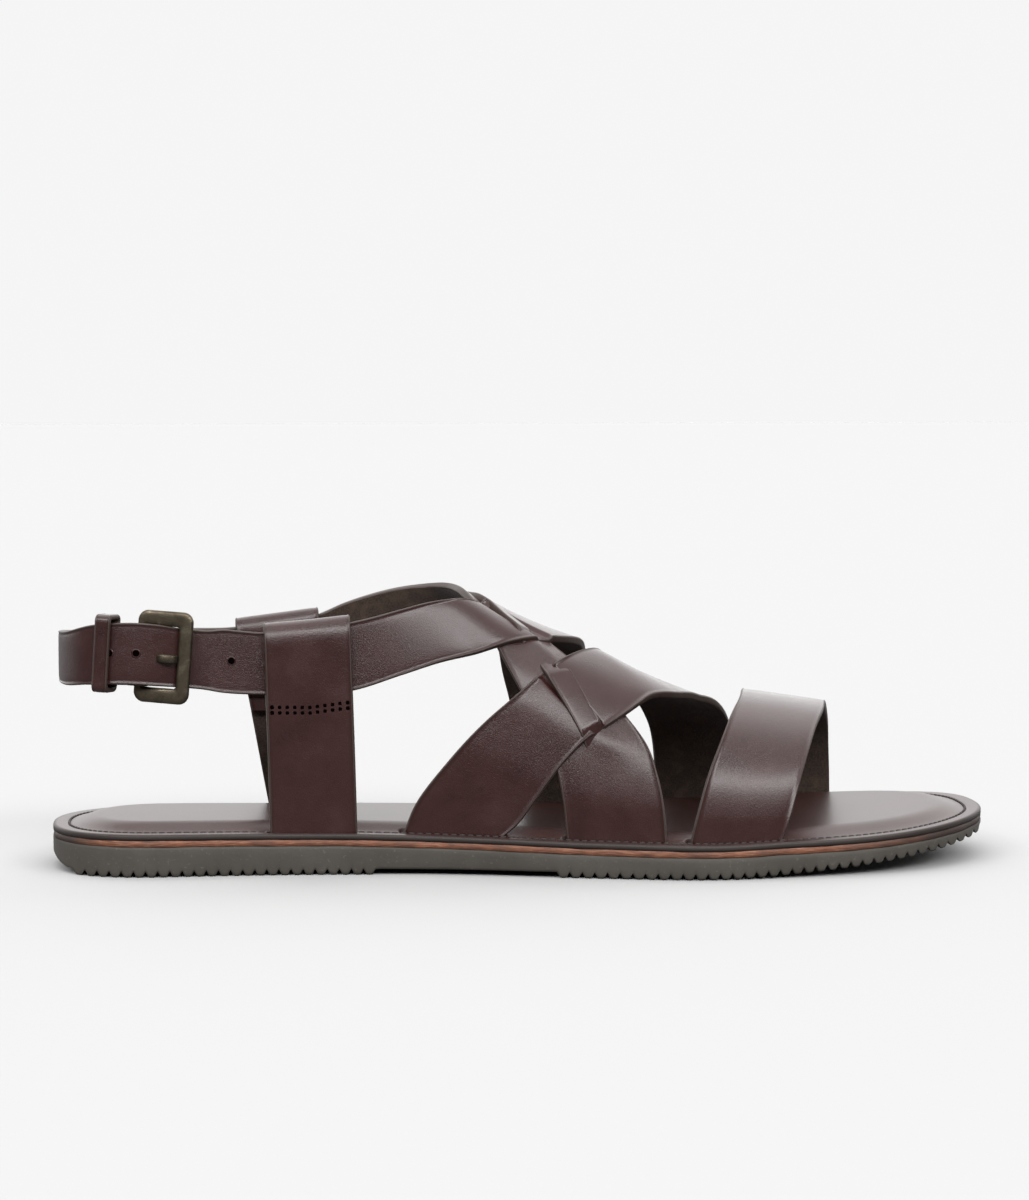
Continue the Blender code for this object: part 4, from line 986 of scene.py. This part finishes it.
# slit mask: sinks the footbed at the strap roots, and the material paints their shade there nearly black
slit_and_shade = np.zeros(distance.shape)
for root in ROOTS:
    for a, b in zip(root[:-1, :2], root[1:, :2]):
        line = b - a
        t = np.clip(((rings - a) @ line) / np.dot(line, line), 0, 1)
        away = np.linalg.norm(rings - a - t[..., None] * line, axis=2)
        slit_and_shade = np.maximum(slit_and_shade, np.clip((SLIT_REACH - away) / 0.0006, 0, 1))
slit_and_shade[:8] = 0
points[..., 2] -= SLIT_DEPTH * slit_and_shade
under = np.column_stack([last_ring, footbed(share_at(last_ring[:, 0])) - INSOLE_THICKNESS])
points = np.concatenate([under[None], points])
slit_and_shade = np.concatenate([0 * slit_and_shade[:1], slit_and_shade])
distance = np.concatenate([distance[:1], distance])
rim = np.clip(1 - distance / 0.0011, 0, 1)


def footbed_material():
    """Dark brown lining leather: fine grain, burnished edge, and painted shade, nearly black, in the slits.
    """
    made, tree, shader = new_material("footbed_leather")
    place = spot_value(tree, "place", "Vector")
    slit_and_shade, rim = spot_value(tree, "edge"), spot_value(tree, "bent")
    group = node(tree, "ShaderNodeGroup", node_tree=grain)
    feed(tree, group, {"Place": place, "Worn": 0.15})
    browns = ((0.4, (0.03, 0.0094, 0.0078)), (0.85, (0.043, 0.016, 0.0128)))
    color = ramp(tree, group.outputs["Tone"], browns)
    color = mixed(tree, rim, color, (0.022, 0.0145, 0.012))
    # painted shade: the slits darkened to nearly black
    color = mixed(tree, slit_and_shade, color, (0.004, 0.003, 0.003))
    rough = mixed(tree, rim, (0.36, 0.36, 0.36), (0.6, 0.6, 0.6))
    normal = bump(tree, group.outputs["Height"], 0.2, 0.0002)
    feed(tree, shader, {"Base Color": color, "Roughness": rough, "Normal": normal})
    feed(tree, shader, {"Coat Weight": 0.1, "Coat Roughness": 0.3})
    return made


lining = [footbed_material()]
# the edge attribute here carries the slits' painted shade
insole = grid_piece("footbed_leather", points, lining, caps=False, place=points * 1000, edge=slit_and_shade, bent=rim)
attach(insole, "root")
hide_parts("insole")
thread, tree, shader = new_material("thread")
feed(tree, shader, {"Base Color": (0.02, 0.012, 0.01, 1.0), "Roughness": 0.6})
seam_ring, seam_out, _ = outline_ring(276)
seam_line = seam_ring - seam_out * SEAM_INSET
seam_z = footbed(share_at(seam_line[:, 0])) - 0.00012
starts = np.column_stack([seam_line, seam_z])
ends = np.column_stack([seam_line + (np.roll(seam_line, -1, axis=0) - seam_line) * STITCH_LENGTH, seam_z])
capsules("footbed_stitches", starts, ends, 0.00038, thread)

# Stage. A plain pale floor and soft studio light: bright overhead and behind, darker from the front.
sheet = bpy.data.meshes.new("floor")
sheet.from_pydata([(-6, -6, 0), (6, -6, 0), (6, 6, 0), (-6, 6, 0)], [], [(0, 1, 2, 3)])
floor = linked("floor", sheet)
pale, tree, shader = new_material("pale_floor")
first_seen = node(tree, "ShaderNodeLightPath").outputs["Is Camera Ray"]
color = mixed(tree, first_seen, (0.15, 0.15, 0.15), (0.515, 0.515, 0.515))
feed(tree, shader, {"Base Color": color, "Roughness": 1.0, "Specular IOR Level": 0.0})
floor.data.materials.append(pale)

world = bpy.data.worlds.new("studio")
bpy.context.scene.world = world
world.use_nodes = True
tree = world.node_tree
background = tree.nodes["Background"]
direction = node(tree, "ShaderNodeSeparateXYZ", {0: node(tree, "ShaderNodeTexCoord").outputs["Generated"]})
height, depth = direction.outputs["Z"], direction.outputs["Y"]


def eased(value, low, high, to_low, to_high):
    """A smooth step of value from to_low at low to to_high at high."""
    inputs = {"Value": value, "From Min": low, "From Max": high, "To Min": to_low, "To Max": to_high}
    return node(tree, "ShaderNodeMapRange", inputs, interpolation_type="SMOOTHSTEP").outputs[0]


overhead = eased(height, 0.62, 0.95, 0.0, 1.3)
strip = math_node(tree, "MULTIPLY", eased(height, 0.33, 0.53, 0.0, 1.0), eased(height, 0.58, 0.72, 1.0, 0.0))
strip = math_node(tree, "MULTIPLY", strip, eased(depth, -0.6, -0.1, 8.5, 0.0))
behind = eased(depth, -0.1, 0.6, 0.04, 1.6)
light = math_node(tree, "ADD", math_node(tree, "ADD", overhead, strip), behind)
seen = node(tree, "ShaderNodeLightPath").outputs["Is Camera Ray"]
plain = node(tree, "ShaderNodeMix", {0: seen, 2: light, 3: 0.915}, data_type="FLOAT").outputs[0]
feed(tree, background, {"Color": (1.0, 1.0, 1.0, 1.0), "Strength": plain})

lens = bpy.data.cameras.new("camera")
lens.lens = 103.95
lens.sensor_width = 36
camera = linked("camera", lens)
camera.location = (-0.1148 + SHIFT_X, -1.08605 + SHIFT_Y, 0.1622)
aim = Vector((-0.0016 + SHIFT_X, 0.0063 + SHIFT_Y, 0.081)) - camera.location
camera.rotation_euler = aim.to_track_quat("-Z", "Y").to_euler()
bpy.context.scene.camera = camera
bpy.context.scene.view_settings.view_transform = "Standard"
